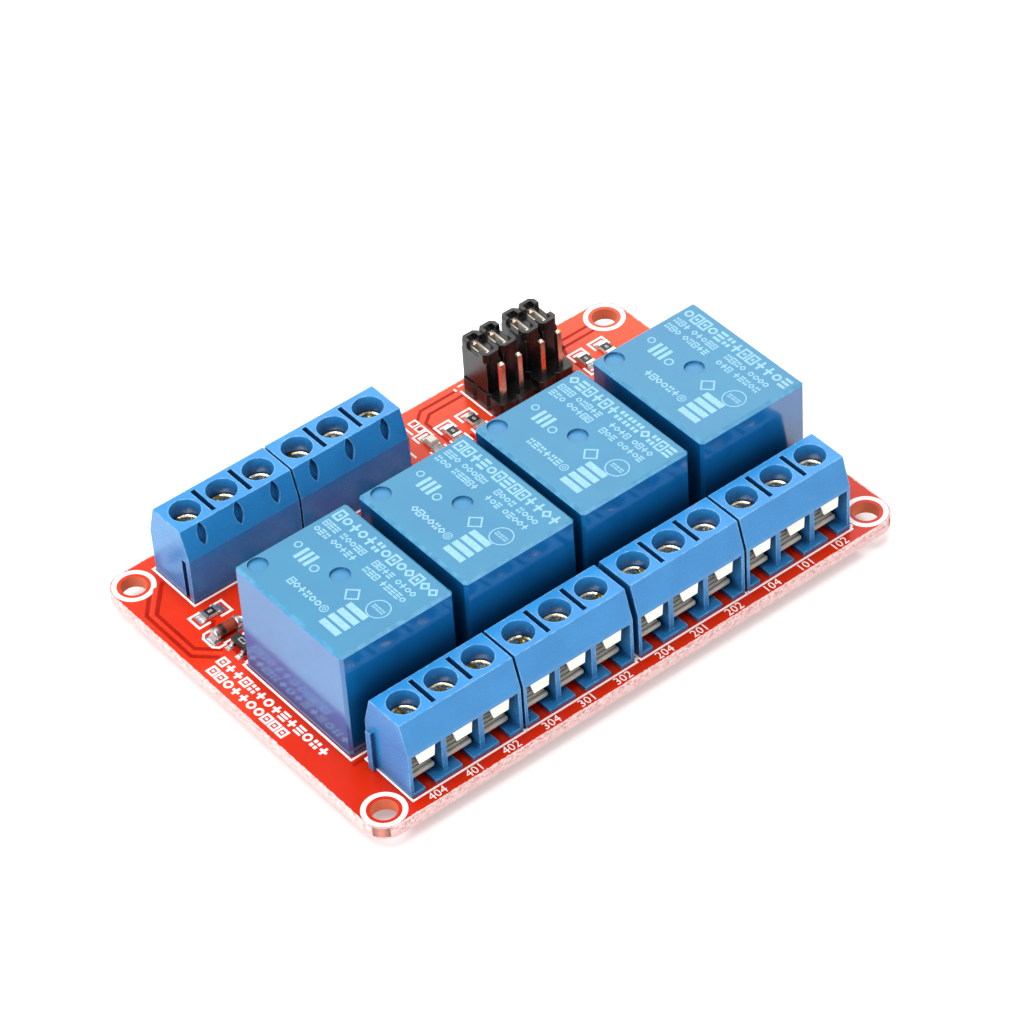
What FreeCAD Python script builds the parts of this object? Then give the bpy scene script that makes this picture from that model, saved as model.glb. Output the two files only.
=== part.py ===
import FreeCAD
import Part
import math
import os

# Relay module board: four relays on one circuit board, with screw terminals along both long sides
# and two small pin headers that carry jumper caps. Millimetres, +Z up. X runs along the long edge
# and +Y points away from the output terminals. The origin is the centre of the four mounting holes
# on the underside of the board.

# circuit board, as wide and long as the rows of parts on it need
board_thickness = 1.6
hole_inset = 2.8
mounting_hole_diameter = 3.1
pin_tail = 1.8
front_edge_margin = 2.05
rear_edge_margin = 2.35
block_end_margin = 5.97
relay_end_margin = 4.65

# screw terminal blocks, each with three poles
pole_pitch = 5.08
pole_steps = (-1, 0, 1)
block_end_allowance = 0.16
block_height = 10.15
shoulder_height = 6.35
lintel_height = 0.45
slant_inset = 1.15
partition_thickness = 0.68
partition_recess = 0.6
back_wall = 2.1
pad_thickness = 0.5
notch_clearance = 0.225
screw_centre_depth = 3.75
screw_clearance = 0.15
groove_width = 0.6
groove_margin = 0.475
groove_depth = 1.4
slot_width = 1.15
slot_length = 3.0
slot_depth = 0.6
tongue_reach = 0.6
tongue_neck_width = 0.55
tongue_end_width = 0.85
tongue_drop = 0.65
tongue_clearance = 0.13

# metal parts of one pole
strip_clearance = 0.4
strip_thickness = 0.5
strip_head_thickness = 0.9
strip_front = 1.6
strip_floor_gap = 0.4
terminal_pin_width = 1.0
terminal_pin_thickness = 0.8
guard_thickness = 0.3
guard_drop = 0.65
guard_front = 0.25
guard_lean = 0.25
guard_bend = 0.06
guard_top_gap = 0.35
guard_side_clearance = 0.8
guard_taper = 0.37
clamp_thread_diameter = 2.6
screw_head_diameter = 3.4
screw_head_height = 2.25
screw_slot_width = 0.6
screw_slot_depth = 0.7
thread_back_gap = 0.024

# gaps between the blocks, from left to right, and the rear pair's step in from the front row's end
front_block_gaps = (0.35, 0.76, 0.35)
rear_block_gap = 0.25
rear_block_step = 0.28

# relays, with the gaps between their cases from left to right
relay_width = 15.3
relay_length = 19.15
relay_height = 15.1
relay_gaps = (1.6, 1.1, 1.8)
relay_row_shift = 0.2
relay_block_gap = 1.65
case_wall = 0.9
case_edge_bevel = 0.35
dimple_diameter = 2.4
dimple_depth = 0.3
dimple_places = ((2.1, 1.6), (7.8, 8.85))

# relay insides, from the base up
base_bottom = 0.3
base_thickness = 1.2
yoke_front = 2.6
yoke_thickness = 1.2
yoke_width = 8.0
coil_yoke_gap = 0.2
core_size = 3.6
pole_face_size = 6.0
pole_face_thickness = 0.55
flange_thickness = 0.7
web_thickness = 1.2
tube_wall = 0.5
winding_build = 2.0
winding_margin = 0.3
pull_gap = 0.55
armature_gap = 0.02
armature_thickness = 1.08
armature_width = 7.8
armature_overhang = 0.8
leaf_thickness = 0.25
leaf_width = 2.6
leaf_setback = 2.4
leaf_tip = 0.05
contact_size = 1.7
contact_reach = 0.35
contact_travel = 0.88
contact_rear_gap = 1.45
fixed_tab_thickness = 0.25
fixed_tab_margin = 0.15
ceiling_gap = 0.13
relay_pin_width = 0.5
relay_pin_depth = 1.4
relay_pin_gap = 0.45
coil_pin_setback = 3.9
coil_pin_size = 0.6
coil_pin_rise = 2.1

# pin headers and jumper caps
header_pitch = 2.54
header_height = 2.5
header_edge_gap = 1.79
header_block_gap = 13.91
header_gap = 0.87
header_cell_bevel = 0.4
header_pin_size = 0.64
header_pin_rise = 5.2
header_pin_bevel = 0.15
cap_side_gap = 0.05
cap_end_gap = 0.09
cap_seat_gap = 0.05
cap_pin_show = 0.2
cap_lobe_rise = 0.9
cap_lobe_length = 1.35
cap_lobe_bevel = 0.5
cap_collar_height = 0.4
cap_collar_step = 0.13
cap_waist_depth = 0.3
clip_thickness = 0.22
clip_pin_gap = 0.06
clip_end_gap = 0.03
clip_bend = 0.28
clip_bottom = 0.5
clip_top_gap = 0.15

# small parts soldered flat on the board
chip_length = 2.0
chip_width = 1.25
chip_height = 0.55
chip_end_length = 0.4
chip_end_rise = 0.04
diode_length = 3.5
diode_diameter = 1.5
transistor_width = 1.3
transistor_length = 2.9
transistor_height = 1.0
transistor_lead_pitch = 1.9
lead_width = 0.45
lead_thickness = 0.15
lead_reach = 0.55
coupler_width = 6.4
coupler_length = 4.6
coupler_height = 3.4
coupler_lift = 0.2
coupler_taper = 0.25
coupler_lead_pitch = 2.54
coupler_lead_width = 0.9
coupler_lead_thickness = 0.3
coupler_lead_reach = 1.6
lamp_length = 2.0
lamp_width = 1.25
lamp_base_height = 0.4
lamp_lens_length = 1.3
lamp_lens_height = 0.5

# places of the small parts, as gaps from the relay in front of them and from each other
driver_side_gap = 0.2
driver_relay_gap = 1.1
diode_driver_gap = 0.95
chip_diode_gap = 2.175
driver_chip_step = 0.3
coupler_relay_gap = 1.95
chip_coupler_gap = 2.375
coupler_chip_step = 0.8
lamp_side_gap = 0.425
lamp_block_gap = 1.25
left_chip_gap = 1.785
right_chip_gap = 2.535
chip_step = 3.15
left_chip_setback = 1.4
right_chip_setback = 2.0
power_lamp_step = 2.95
power_lamp_setback = 1.1

# cuts and bores run this far past the piece they open
overshoot = 1.0


def row_centres(length, gaps):
    # centres of like pieces in a row about x 0, from left to right
    whole = length * (len(gaps) + 1) + sum(gaps)
    centres = [(length - whole) / 2]
    for gap in gaps:
        centres.append(centres[-1] + length + gap)
    return centres


# what follows for the blocks and their poles
board_top = board_thickness
pin_bottom = -pin_tail
block_length = len(pole_steps) * pole_pitch + block_end_allowance
block_x = row_centres(block_length, front_block_gaps)
bay_width = pole_pitch - partition_thickness
strip_back = screw_centre_depth + clamp_thread_diameter / 2 * math.cos(math.pi / 6) + thread_back_gap
bay_back = strip_back + strip_thickness
block_depth = bay_back + back_wall
screw_hole_diameter = screw_head_diameter + 2 * screw_clearance
tongue_centre_depth = block_depth - slant_inset
strip_width = bay_width - 2 * strip_clearance
bay_top = shoulder_height - lintel_height
strip_head_bottom = bay_top - strip_head_thickness
strip_floor = pad_thickness + strip_floor_gap
guard_top_face = strip_head_bottom - guard_drop
guard_bottom = guard_top_face - guard_thickness
guard_top_width = bay_width - 2 * guard_side_clearance

# what follows for the relays, with heights above the board and depths from the relay's front
relay_x = [x + relay_row_shift for x in reversed(row_centres(relay_width, relay_gaps))]
base_top = base_bottom + base_thickness
bobbin_bottom = base_top + yoke_thickness
closed_contact_bottom = relay_height - case_wall - ceiling_gap - fixed_tab_thickness
armature_top = closed_contact_bottom - armature_gap - contact_reach - leaf_thickness
armature_bottom = armature_top - armature_thickness
yoke_top = armature_bottom - armature_gap
pole_face_top = yoke_top - pull_gap
bobbin_top = pole_face_top - pole_face_thickness
open_contact_top = armature_top - contact_reach - contact_travel
tube_size = core_size + 2 * tube_wall
winding_diameter = tube_size + 2 * winding_build
flange_width = winding_diameter + 2 * winding_margin
coil_centre_depth = yoke_front + yoke_thickness + coil_yoke_gap + flange_width / 2
armature_end = coil_centre_depth + pole_face_size / 2 + armature_overhang
contact_depth = relay_length - case_wall - contact_rear_gap - relay_pin_depth / 2
common_pin_depth = yoke_front + yoke_thickness / 2
relay_pin_x = relay_width / 2 - case_wall - relay_pin_gap - relay_pin_width / 2

# what follows for the headers and caps
header_places = [(column * header_pitch, row * header_pitch) for column in (-0.5, 0.5)
                 for row in (-1, 0, 1)]
header_pin_top = board_top + header_height + header_pin_rise
cap_width = header_pitch - 2 * cap_side_gap
cap_length = 2 * (header_pitch - cap_end_gap)
cap_body_height = header_pin_rise - cap_pin_show
cap_lobe_height = cap_body_height + cap_lobe_rise
cap_bore_width = header_pin_size + 2 * (clip_thickness + clip_pin_gap)
clip_half_length = (header_pitch + header_pin_size) / 2 + clip_end_gap + clip_bend

# what follows for the rows, from the front edge of the board to the rear one
driver_y = driver_relay_gap + transistor_length / 2
diode_y = driver_relay_gap + transistor_length + diode_driver_gap + diode_diameter / 2
driver_chip_y = diode_y + diode_diameter / 2 + chip_diode_gap + chip_width / 2
coupler_y = coupler_relay_gap + coupler_length / 2
lamp_y = coupler_y + coupler_length / 2 + chip_coupler_gap + chip_width / 2
parts_depth = lamp_y + lamp_length / 2 + lamp_block_gap
board_width = (front_edge_margin + block_depth + relay_block_gap + relay_length + parts_depth + block_depth
               + rear_edge_margin)
front_wire_face_y = front_edge_margin - board_width / 2
relay_front_y = front_wire_face_y + block_depth + relay_block_gap
relay_rear_y = relay_front_y + relay_length
rear_wire_face_y = board_width / 2 - rear_edge_margin
header_y = board_width / 2 - header_edge_gap - 1.5 * header_pitch

# what follows along the rows
block_row_length = block_x[-1] - block_x[0] + block_length
relay_row_length = relay_x[0] - relay_x[-1] + relay_width
board_length = max(block_row_length + 2 * block_end_margin, relay_row_length + 2 * relay_end_margin)
rear_block_x = (block_x[0] + rear_block_step, block_x[0] + rear_block_step + block_length + rear_block_gap)
header_left = rear_block_x[1] + block_length / 2 + header_block_gap
header_x = (header_left + header_pitch, header_left + 3 * header_pitch + header_gap)
header_right = header_x[1] + header_pitch
driver_x = driver_side_gap + lead_reach + transistor_width / 2 - relay_width / 2
driver_chip_x = driver_x + driver_chip_step
coupler_x = driver_x + (relay_width + relay_gaps[0]) / 2
coupler_chip_x = coupler_x + coupler_chip_step
lamp_x = relay_width / 2 - lamp_side_gap - lamp_width / 2
left_chip_x = header_left - left_chip_gap - chip_width / 2
right_chip_x = header_right + right_chip_gap + chip_width / 2
power_lamp_x = left_chip_x - chip_step - power_lamp_step
hole_spacing_x = board_length - 2 * hole_inset
hole_spacing_y = board_width - 2 * hole_inset


def box(x0, x1, y0, y1, z0, z1):
    return Part.makeBox(x1 - x0, y1 - y0, z1 - z0, FreeCAD.Vector(x0, y0, z0))


def rod(diameter, x, y, z0, z1):
    return Part.makeCylinder(diameter / 2, z1 - z0, FreeCAD.Vector(x, y, z0))


def bar(width, depth, x, y, z0, z1):
    # an upright bar, by the centre of its section
    return box(x - width / 2, x + width / 2, y - depth / 2, y + depth / 2, z0, z1)


def many_sided(sides, diameter, x, y, z0, z1):
    # a small round piece drawn with flats
    turns = [2 * math.pi * side / sides for side in range(sides)]
    corners = [(x + diameter / 2 * math.cos(turn), y + diameter / 2 * math.sin(turn)) for turn in turns]
    return top_profile(corners, z0, z1)


def threaded(x, y, z0, z1):
    # the clamp screw's thread, drawn plain and six-sided in the screw and in the strip alike
    return many_sided(6, clamp_thread_diameter, x, y, z0, z1)


def side_profile(points, x0, x1):
    # a closed outline of (y, z) points drawn out along X
    corners = [FreeCAD.Vector(x0, y, z) for y, z in points + points[:1]]
    return Part.Face(Part.makePolygon(corners)).extrude(FreeCAD.Vector(x1 - x0, 0, 0))


def front_profile(points, y0, y1):
    # a closed outline of (x, z) points drawn out along Y
    corners = [FreeCAD.Vector(x, y0, z) for x, z in points + points[:1]]
    return Part.Face(Part.makePolygon(corners)).extrude(FreeCAD.Vector(0, y1 - y0, 0))


def top_profile(points, z0, z1):
    # a closed outline of (x, y) points drawn out along Z
    corners = [FreeCAD.Vector(x, y, z0) for x, y in points + points[:1]]
    return Part.Face(Part.makePolygon(corners)).extrude(FreeCAD.Vector(0, 0, z1 - z0))


def joined(shapes):
    whole = shapes[0]
    if len(shapes) > 1:
        whole = whole.fuse(shapes[1:])
    return whole.removeSplitter()


def placed(shape, x, y, z, turned=False):
    copy = shape.copy()
    if turned:
        copy.rotate(FreeCAD.Vector(0, 0, 0), FreeCAD.Vector(0, 0, 1), 180)
    copy.translate(FreeCAD.Vector(x, y, z))
    return copy


def save(name, shape):
    shape.exportStep(os.path.join("parts", name + ".step"))
    print(name, "solids", len(shape.Solids), "valid", shape.isValid())


def terminal_housing():
    # wire face at y 0, closed back at block_depth, standing on z 0
    half = block_length / 2
    outline = [
        (0, 0),
        (0, shoulder_height),
        (slant_inset, block_height),
        (block_depth - slant_inset, block_height),
        (block_depth, shoulder_height),
        (block_depth, 0),
    ]
    body = side_profile(outline, -half, half)
    notch = terminal_pin_width / 2 + notch_clearance
    cuts = []
    for step in pole_steps:
        x = step * pole_pitch
        cuts.append(box(x - bay_width / 2, x + bay_width / 2, -overshoot, bay_back, pad_thickness, bay_top))
        cuts.append(box(x - notch, x + notch, -overshoot, strip_back, -overshoot, bay_top))
        cuts.append(rod(screw_hole_diameter, x, screw_centre_depth, bay_top, block_height + overshoot))
        cuts.append(slant_slot(x))
    reach = pole_pitch + bay_width / 2
    cuts.append(box(-reach, reach, -overshoot, partition_recess, pad_thickness, bay_top))
    groove_start = slant_inset + groove_margin
    for side in (-0.5, 0.5):
        x = side * pole_pitch
        cuts.append(box(x - groove_width / 2, x + groove_width / 2, groove_start, block_depth - groove_start,
                        block_height - groove_depth, block_height + overshoot))
    tongue_top = shoulder_height - tongue_drop
    cuts.append(dovetail(half, tongue_clearance, -overshoot, tongue_top + tongue_clearance))
    body = body.cut(cuts)
    tongue = dovetail(-half, 0, 0, tongue_top)
    return joined([body, tongue])


def dovetail(x, clearance, z0, z1):
    # a wedge that widens towards -X, and with a clearance the groove that takes it
    neck = tongue_neck_width / 2 + clearance
    wide = tongue_end_width / 2 + clearance
    root = x + tongue_reach
    end = x - tongue_reach - clearance / 2
    middle = tongue_centre_depth
    return top_profile([(root, middle - neck), (x, middle - neck), (end, middle - wide),
                        (end, middle + wide), (x, middle + neck), (root, middle + neck)], z0, z1)


def slant_slot(x):
    # a pointed oval sunk square into the slanted back, from its upper edge down
    drop = block_height - shoulder_height
    slope = FreeCAD.Vector(0, slant_inset, -drop).normalize()
    inward = FreeCAD.Vector(0, -drop, -slant_inset).normalize()
    start = FreeCAD.Vector(x, block_depth - slant_inset, block_height) - inward * overshoot
    middle = start + slope * (slot_length / 2)
    end = start + slope * slot_length
    side = FreeCAD.Vector(slot_width / 2, 0, 0)
    wire = Part.Wire([
        Part.Arc(start, middle + side, end).toShape(),
        Part.Arc(end, middle - side, start).toShape(),
    ])
    return Part.Face(wire).extrude(inward * (slot_depth + overshoot))


def terminal_contact():
    # one folded strip: tapped head under the screw, back, floor for the wire, and the solder pin
    outline = [
        (strip_front, strip_head_bottom),
        (strip_back, strip_head_bottom),
        (strip_back, strip_floor + strip_thickness),
        (strip_front, strip_floor + strip_thickness),
        (strip_front, strip_floor),
        (bay_back, strip_floor),
        (bay_back, bay_top),
        (strip_front, bay_top),
    ]
    strip = side_profile(outline, -strip_width / 2, strip_width / 2)
    strip = strip.cut(threaded(0, screw_centre_depth, strip_head_bottom, bay_top))
    pin = bar(terminal_pin_width, terminal_pin_thickness, 0, screw_centre_depth,
              pin_bottom - board_top, strip_floor)
    return joined([strip, pin])


def wire_guard():
    # a leaf under the screw tip, its front bent up as a leaning tab that widens upward
    top = bay_top - guard_top_gap
    front = guard_front
    outline = [
        (front, guard_bottom),
        (strip_back, guard_bottom),
        (strip_back, guard_top_face),
        (front + guard_thickness + guard_bend, guard_top_face),
        (front + guard_lean + guard_thickness, top),
        (front + guard_lean, top),
    ]
    wide = guard_top_width / 2
    narrow = wide - guard_taper
    leaf = side_profile(outline, -wide, wide)
    flare = front_profile([(-narrow, guard_bottom), (narrow, guard_bottom), (wide, top), (-wide, top)],
                          0, strip_back)
    return leaf.common(flare)


def clamp_screw():
    # slotted cheese head, with the tip of its thread on the wire guard
    top = bay_top + screw_head_height
    head = many_sided(12, screw_head_diameter, 0, 0, bay_top, top)
    shank = threaded(0, 0, guard_top_face, bay_top)
    slot = bar(2 * screw_head_diameter, screw_slot_width, 0, 0, top - screw_slot_depth, top + overshoot)
    return joined([head, shank]).cut(slot)


def block_stations():
    # x, y and half-turn of every block, the four front ones first
    front = [(x, front_wire_face_y, False) for x in block_x]
    rear = [(x, rear_wire_face_y, True) for x in rear_block_x]
    return front + rear


def pole_group(piece, station, depth=0.0):
    # the same piece at each pole of one block
    x, y, turned = station
    row = [placed(piece, step * pole_pitch, depth, 0) for step in pole_steps]
    return placed(Part.makeCompound(row), x, y, board_top, turned)


def relay_case():
    case = box(-relay_width / 2, relay_width / 2, 0, relay_length, 0, relay_height)
    upper = [edge for edge in case.Edges if edge.BoundBox.ZMax > relay_height - dimple_depth]
    case = case.makeChamfer(case_edge_bevel, upper)
    inner = relay_width / 2 - case_wall
    hollow = box(-inner, inner, case_wall, relay_length - case_wall, -overshoot, relay_height - case_wall)
    dimples = [rod(dimple_diameter, from_side - relay_width / 2, relay_length - from_rear,
                   relay_height - dimple_depth, relay_height + overshoot)
               for from_side, from_rear in dimple_places]
    return case.cut([hollow] + dimples)


def relay_base():
    # base plate with the coil bobbin moulded on, open round every pin
    inner = relay_width / 2 - case_wall
    plate = box(-inner, inner, case_wall, relay_length - case_wall, base_bottom, base_top)
    middle = coil_centre_depth
    low = bar(flange_width, flange_width, 0, middle, bobbin_bottom, bobbin_bottom + flange_thickness)
    high = bar(flange_width, flange_width, 0, middle, bobbin_top - flange_thickness, bobbin_top)
    tube = bar(tube_size, tube_size, 0, middle, bobbin_bottom, bobbin_top)
    web_depth = middle + (flange_width - web_thickness) / 2
    web = bar(flange_width, web_thickness, 0, web_depth, base_top, bobbin_bottom)
    body = joined([plate, low, high, tube, web])
    core = bar(core_size, core_size, 0, middle, base_top, bobbin_top + overshoot)
    return body.cut([core, coil_pin(-1), coil_pin(1), open_contact(), closed_contact(), common_pin()])


def coil_pin(side):
    return bar(coil_pin_size, coil_pin_size, side * relay_pin_x, coil_pin_setback,
               pin_bottom - board_top, base_top + coil_pin_rise)


def common_pin():
    # tail of the yoke that reaches through the board as the common pin
    return bar(relay_pin_depth, relay_pin_width, 0, common_pin_depth, pin_bottom - board_top, base_top)


def fixed_contact(side, z0, z1):
    # blade beside the case wall, with a tab that reaches in over or under the moving contact
    x = side * relay_pin_x
    blade = bar(relay_pin_width, relay_pin_depth, x, contact_depth, pin_bottom - board_top, z1)
    past_middle = contact_size / 2 + fixed_tab_margin
    reach = relay_pin_x + relay_pin_width / 2 + past_middle
    tab = bar(reach, 2 * past_middle, side * (reach / 2 - past_middle), contact_depth, z0, z1)
    return joined([blade, tab])


def open_contact():
    # the moving contact comes down on its button when the coil pulls
    tab_top = open_contact_top - contact_reach
    blade = fixed_contact(-1, tab_top - fixed_tab_thickness, tab_top)
    return joined([blade, bar(contact_size, contact_size, 0, contact_depth, tab_top, open_contact_top)])


def closed_contact():
    # the moving contact lies against it from below at rest
    return fixed_contact(1, closed_contact_bottom, closed_contact_bottom + fixed_tab_thickness)


def relay_terminals():
    return Part.makeCompound([coil_pin(-1), coil_pin(1), open_contact(), closed_contact()])


def relay_winding():
    turns = many_sided(16, winding_diameter, 0, coil_centre_depth, bobbin_bottom + flange_thickness,
                       bobbin_top - flange_thickness)
    return turns.cut(bar(tube_size, tube_size, 0, coil_centre_depth, bobbin_bottom, bobbin_top))


def relay_yoke():
    # upright and foot folded from one strip, with the core and its wider pole face riveted in
    foot_end = coil_centre_depth + core_size / 2
    outline = [
        (yoke_front, base_top),
        (foot_end, base_top),
        (foot_end, bobbin_bottom),
        (yoke_front + yoke_thickness, bobbin_bottom),
        (yoke_front + yoke_thickness, yoke_top),
        (yoke_front, yoke_top),
    ]
    strip = side_profile(outline, -yoke_width / 2, yoke_width / 2)
    core = bar(core_size, core_size, 0, coil_centre_depth, base_top, bobbin_top)
    face = bar(pole_face_size, pole_face_size, 0, coil_centre_depth, bobbin_top, pole_face_top)
    return joined([strip, core, face, common_pin()])


def relay_armature():
    # hinged plate over the core with the moving contact leaf riveted on its top
    half = armature_width / 2
    leaf_end = contact_depth + contact_size / 2 + leaf_tip
    leaf_top = armature_top + leaf_thickness
    plate = box(-half, half, yoke_front, armature_end, armature_bottom, armature_top)
    leaf = box(-leaf_width / 2, leaf_width / 2, yoke_front + leaf_setback, leaf_end, armature_top, leaf_top)
    button = bar(contact_size, contact_size, 0, contact_depth, armature_top - contact_reach,
                 leaf_top + contact_reach)
    return joined([plate, leaf, button])


def header_base():
    # six bevelled cells moulded as one strip, drilled for the pins
    half = header_pitch / 2
    bevel = header_cell_bevel
    near = half - bevel
    cells = []
    for x, y in header_places:
        cells.append(top_profile([(x + half, y - near), (x + half, y + near), (x + near, y + half),
                                  (x - near, y + half), (x - half, y + near), (x - half, y - near),
                                  (x - near, y - half), (x + near, y - half)], 0, header_height))
    core = bar(half, 2 * header_pitch, 0, 0, 0, header_height)
    bores = [bar(header_pin_size, header_pin_size, x, y, -overshoot, header_height + overshoot)
             for x, y in header_places]
    return joined(cells + [core]).cut(bores)


def header_pins():
    pins = []
    for x, y in header_places:
        pin = bar(header_pin_size, header_pin_size, x, y, pin_bottom, header_pin_top)
        rim = [edge for edge in pin.Edges if edge.BoundBox.ZMin > header_pin_top - header_pin_bevel]
        pins.append(pin.makeChamfer(header_pin_bevel, rim))
    return pins


def jumper_cap():
    # open sleeve over two pins, with a collar round its mouth that rises into a lobe at each end
    half = cap_width / 2
    end = cap_length / 2
    narrow = half - cap_collar_step
    collar_bottom = cap_body_height - cap_collar_height
    sleeve = box(-narrow, narrow, cap_collar_step - end, end - cap_collar_step, cap_seat_gap, collar_bottom)
    near = half - cap_lobe_bevel
    far = end - cap_lobe_bevel
    collar = top_profile([(half, -far), (half, far), (near, end), (-near, end), (-half, far), (-half, -far),
                          (-near, -end), (near, -end)], collar_bottom, cap_lobe_height)
    saddle_end = end - cap_lobe_length
    above = cap_lobe_height + overshoot
    waist = half - cap_waist_depth
    cuts = [box(-cap_width, cap_width, -saddle_end, saddle_end, cap_body_height, above),
            box(-cap_bore_width / 2, cap_bore_width / 2, -clip_half_length, clip_half_length, -overshoot, above)]
    for side in (-1, 1):
        cuts.append(bar(cap_waist_depth, 2 * saddle_end, side * (waist + cap_waist_depth / 2), 0,
                        cap_body_height, above))
    return joined([sleeve, collar]).cut(cuts)


def jumper_clip():
    # spring strip bent into a U round both pins
    outer = cap_bore_width / 2
    inner = outer - clip_thickness
    top = cap_body_height - clip_top_gap
    strip = box(-outer, outer, -clip_half_length, clip_half_length, clip_bottom, top)
    return strip.cut(box(-inner, inner, -clip_half_length - overshoot, clip_half_length - clip_bend, 0,
                         top + overshoot))


def cap_stations():
    # centre of the two rear pins in each column, from left to right
    return [(x + column * header_pitch, header_y + header_pitch / 2, board_top + header_height)
            for x in header_x for column in (-0.5, 0.5)]


def chip_resistor(along_y):
    # ceramic block whose plated ends stand a little proud of it
    end = chip_length / 2
    shoulder = end - chip_end_length
    rim = chip_height + chip_end_rise
    outline = [(-end, 0), (-end, rim), (-shoulder, rim), (-shoulder, chip_height),
               (shoulder, chip_height), (shoulder, rim), (end, rim), (end, 0)]
    chip = front_profile(outline, -chip_width / 2, chip_width / 2)
    if along_y:
        chip.rotate(FreeCAD.Vector(0, 0, 0), FreeCAD.Vector(0, 0, 1), 90)
    return chip


def glass_diode():
    # lying along X, with its underside on z 0
    diode = many_sided(16, diode_diameter, 0, 0, -diode_length / 2, diode_length / 2)
    diode.rotate(FreeCAD.Vector(0, 0, 0), FreeCAD.Vector(0, 1, 0), 90)
    diode.translate(FreeCAD.Vector(0, 0, diode_diameter / 2))
    return diode


def transistor():
    body = box(-transistor_width / 2, transistor_width / 2, -transistor_length / 2, transistor_length / 2,
               lead_thickness, transistor_height)
    middle = (transistor_width + lead_reach) / 2
    spacing = transistor_lead_pitch / 2
    leads = [bar(lead_reach, lead_width, side * middle, step * spacing, 0, 2 * lead_thickness)
             for side, step in ((-1, -1), (-1, 1), (1, 0))]
    return joined([body] + leads)


def optocoupler():
    half_x = coupler_width / 2
    half_y = coupler_length / 2
    middle = coupler_height / 2
    top_half_x = half_x - coupler_taper
    outline = [(-half_x, coupler_lift), (-half_x, middle), (-top_half_x, coupler_height),
               (top_half_x, coupler_height), (half_x, middle), (half_x, coupler_lift)]
    pieces = [front_profile(outline, -half_y, half_y)]
    for side in (-1, 1):
        for y in (-coupler_lead_pitch / 2, coupler_lead_pitch / 2):
            pieces.append(coupler_lead(side, half_x, middle, y))
    return joined(pieces)


def coupler_lead(side, start, top, y):
    # down the side of the case from its waist, then out along the board
    upright = start + coupler_lead_thickness
    end = start + coupler_lead_reach
    outline = [(side * start, top), (side * upright, top), (side * upright, coupler_lead_thickness),
               (side * end, coupler_lead_thickness), (side * end, 0), (side * start, 0)]
    return front_profile(outline, y - coupler_lead_width / 2, y + coupler_lead_width / 2)


def indicator_lamp():
    base = bar(lamp_width, lamp_length, 0, 0, 0, lamp_base_height)
    lens = bar(lamp_width, lamp_lens_length, 0, 0, lamp_base_height, lamp_base_height + lamp_lens_height)
    return joined([base, lens])


def resistor_places():
    # x, y and whether the chip lies along Y
    left_y = header_y - left_chip_setback
    right_y = header_y - right_chip_setback
    places = [(left_chip_x - chip_step, left_y, True), (left_chip_x, left_y, True),
              (right_chip_x, right_y, True), (right_chip_x + chip_step, right_y, True)]
    for x in relay_x:
        places.append((x + driver_chip_x, relay_rear_y + driver_chip_y, False))
        places.append((x + coupler_chip_x, relay_rear_y + lamp_y, False))
    return places


def pin_holes():
    # every soldered pin fills the hole that it stands in
    holes = []

    def drill(width, depth, x, y):
        holes.append(bar(width, depth, x, y, -overshoot, board_top + overshoot))

    for x, y, turned in block_stations():
        pin_y = y - screw_centre_depth if turned else y + screw_centre_depth
        for step in pole_steps:
            drill(terminal_pin_width, terminal_pin_thickness, x + step * pole_pitch, pin_y)
    for x in relay_x:
        drill(relay_pin_depth, relay_pin_width, x, relay_front_y + common_pin_depth)
        for side in (-1, 1):
            pin_x = x + side * relay_pin_x
            drill(coil_pin_size, coil_pin_size, pin_x, relay_front_y + coil_pin_setback)
            drill(relay_pin_width, relay_pin_depth, pin_x, relay_front_y + contact_depth)
    for x in header_x:
        for column, row in header_places:
            drill(header_pin_size, header_pin_size, x + column, header_y + row)
    return holes


def circuit_board():
    plate = bar(board_length, board_width, 0, 0, 0, board_thickness)
    upright = [edge for edge in plate.Edges if edge.BoundBox.ZLength > board_thickness / 2]
    plate = plate.makeFillet(hole_inset, upright)
    mounting = [rod(mounting_hole_diameter, side_x * hole_spacing_x / 2, side_y * hole_spacing_y / 2,
                    -overshoot, board_thickness + overshoot) for side_x in (-1, 1) for side_y in (-1, 1)]
    return plate.cut(mounting + pin_holes())


def save_terminals():
    housing = terminal_housing()
    contact = terminal_contact()
    guard = wire_guard()
    screw = clamp_screw()
    screws = []
    for number, station in enumerate(block_stations(), start=1):
        x, y, turned = station
        save("terminal_housing_%d" % number, placed(housing, x, y, board_top, turned))
        save("terminal_contacts_%d" % number, pole_group(contact, station))
        save("wire_guards_%d" % number, pole_group(guard, station))
        screws.append(pole_group(screw, station, screw_centre_depth))
    save("terminal_screws", Part.makeCompound([solid for group in screws for solid in group.Solids]))


def save_relays():
    pieces = {
        "relay_case": relay_case(),
        "relay_base": relay_base(),
        "relay_winding": relay_winding(),
        "relay_yoke": relay_yoke(),
        "relay_armature": relay_armature(),
        "relay_terminals": relay_terminals(),
    }
    for number, x in enumerate(relay_x, start=1):
        for name, piece in pieces.items():
            save("%s_%d" % (name, number), placed(piece, x, relay_front_y, board_top))


def save_headers():
    base = header_base()
    save("header_bases", Part.makeCompound([placed(base, x, header_y, board_top) for x in header_x]))
    pins = [placed(pin, x, header_y, 0) for x in header_x for pin in header_pins()]
    save("header_pins", Part.makeCompound(pins))
    cap = jumper_cap()
    clip = jumper_clip()
    for number, (x, y, z) in enumerate(cap_stations(), start=1):
        save("jumper_cap_%d" % number, placed(cap, x, y, z))
        save("jumper_clip_%d" % number, placed(clip, x, y, z))


def behind_relays(piece, x, y):
    # the same piece behind each relay, by its place from the middle of the relay's rear face
    return [placed(piece, relay + x, relay_rear_y + y, board_top) for relay in relay_x]


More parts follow.
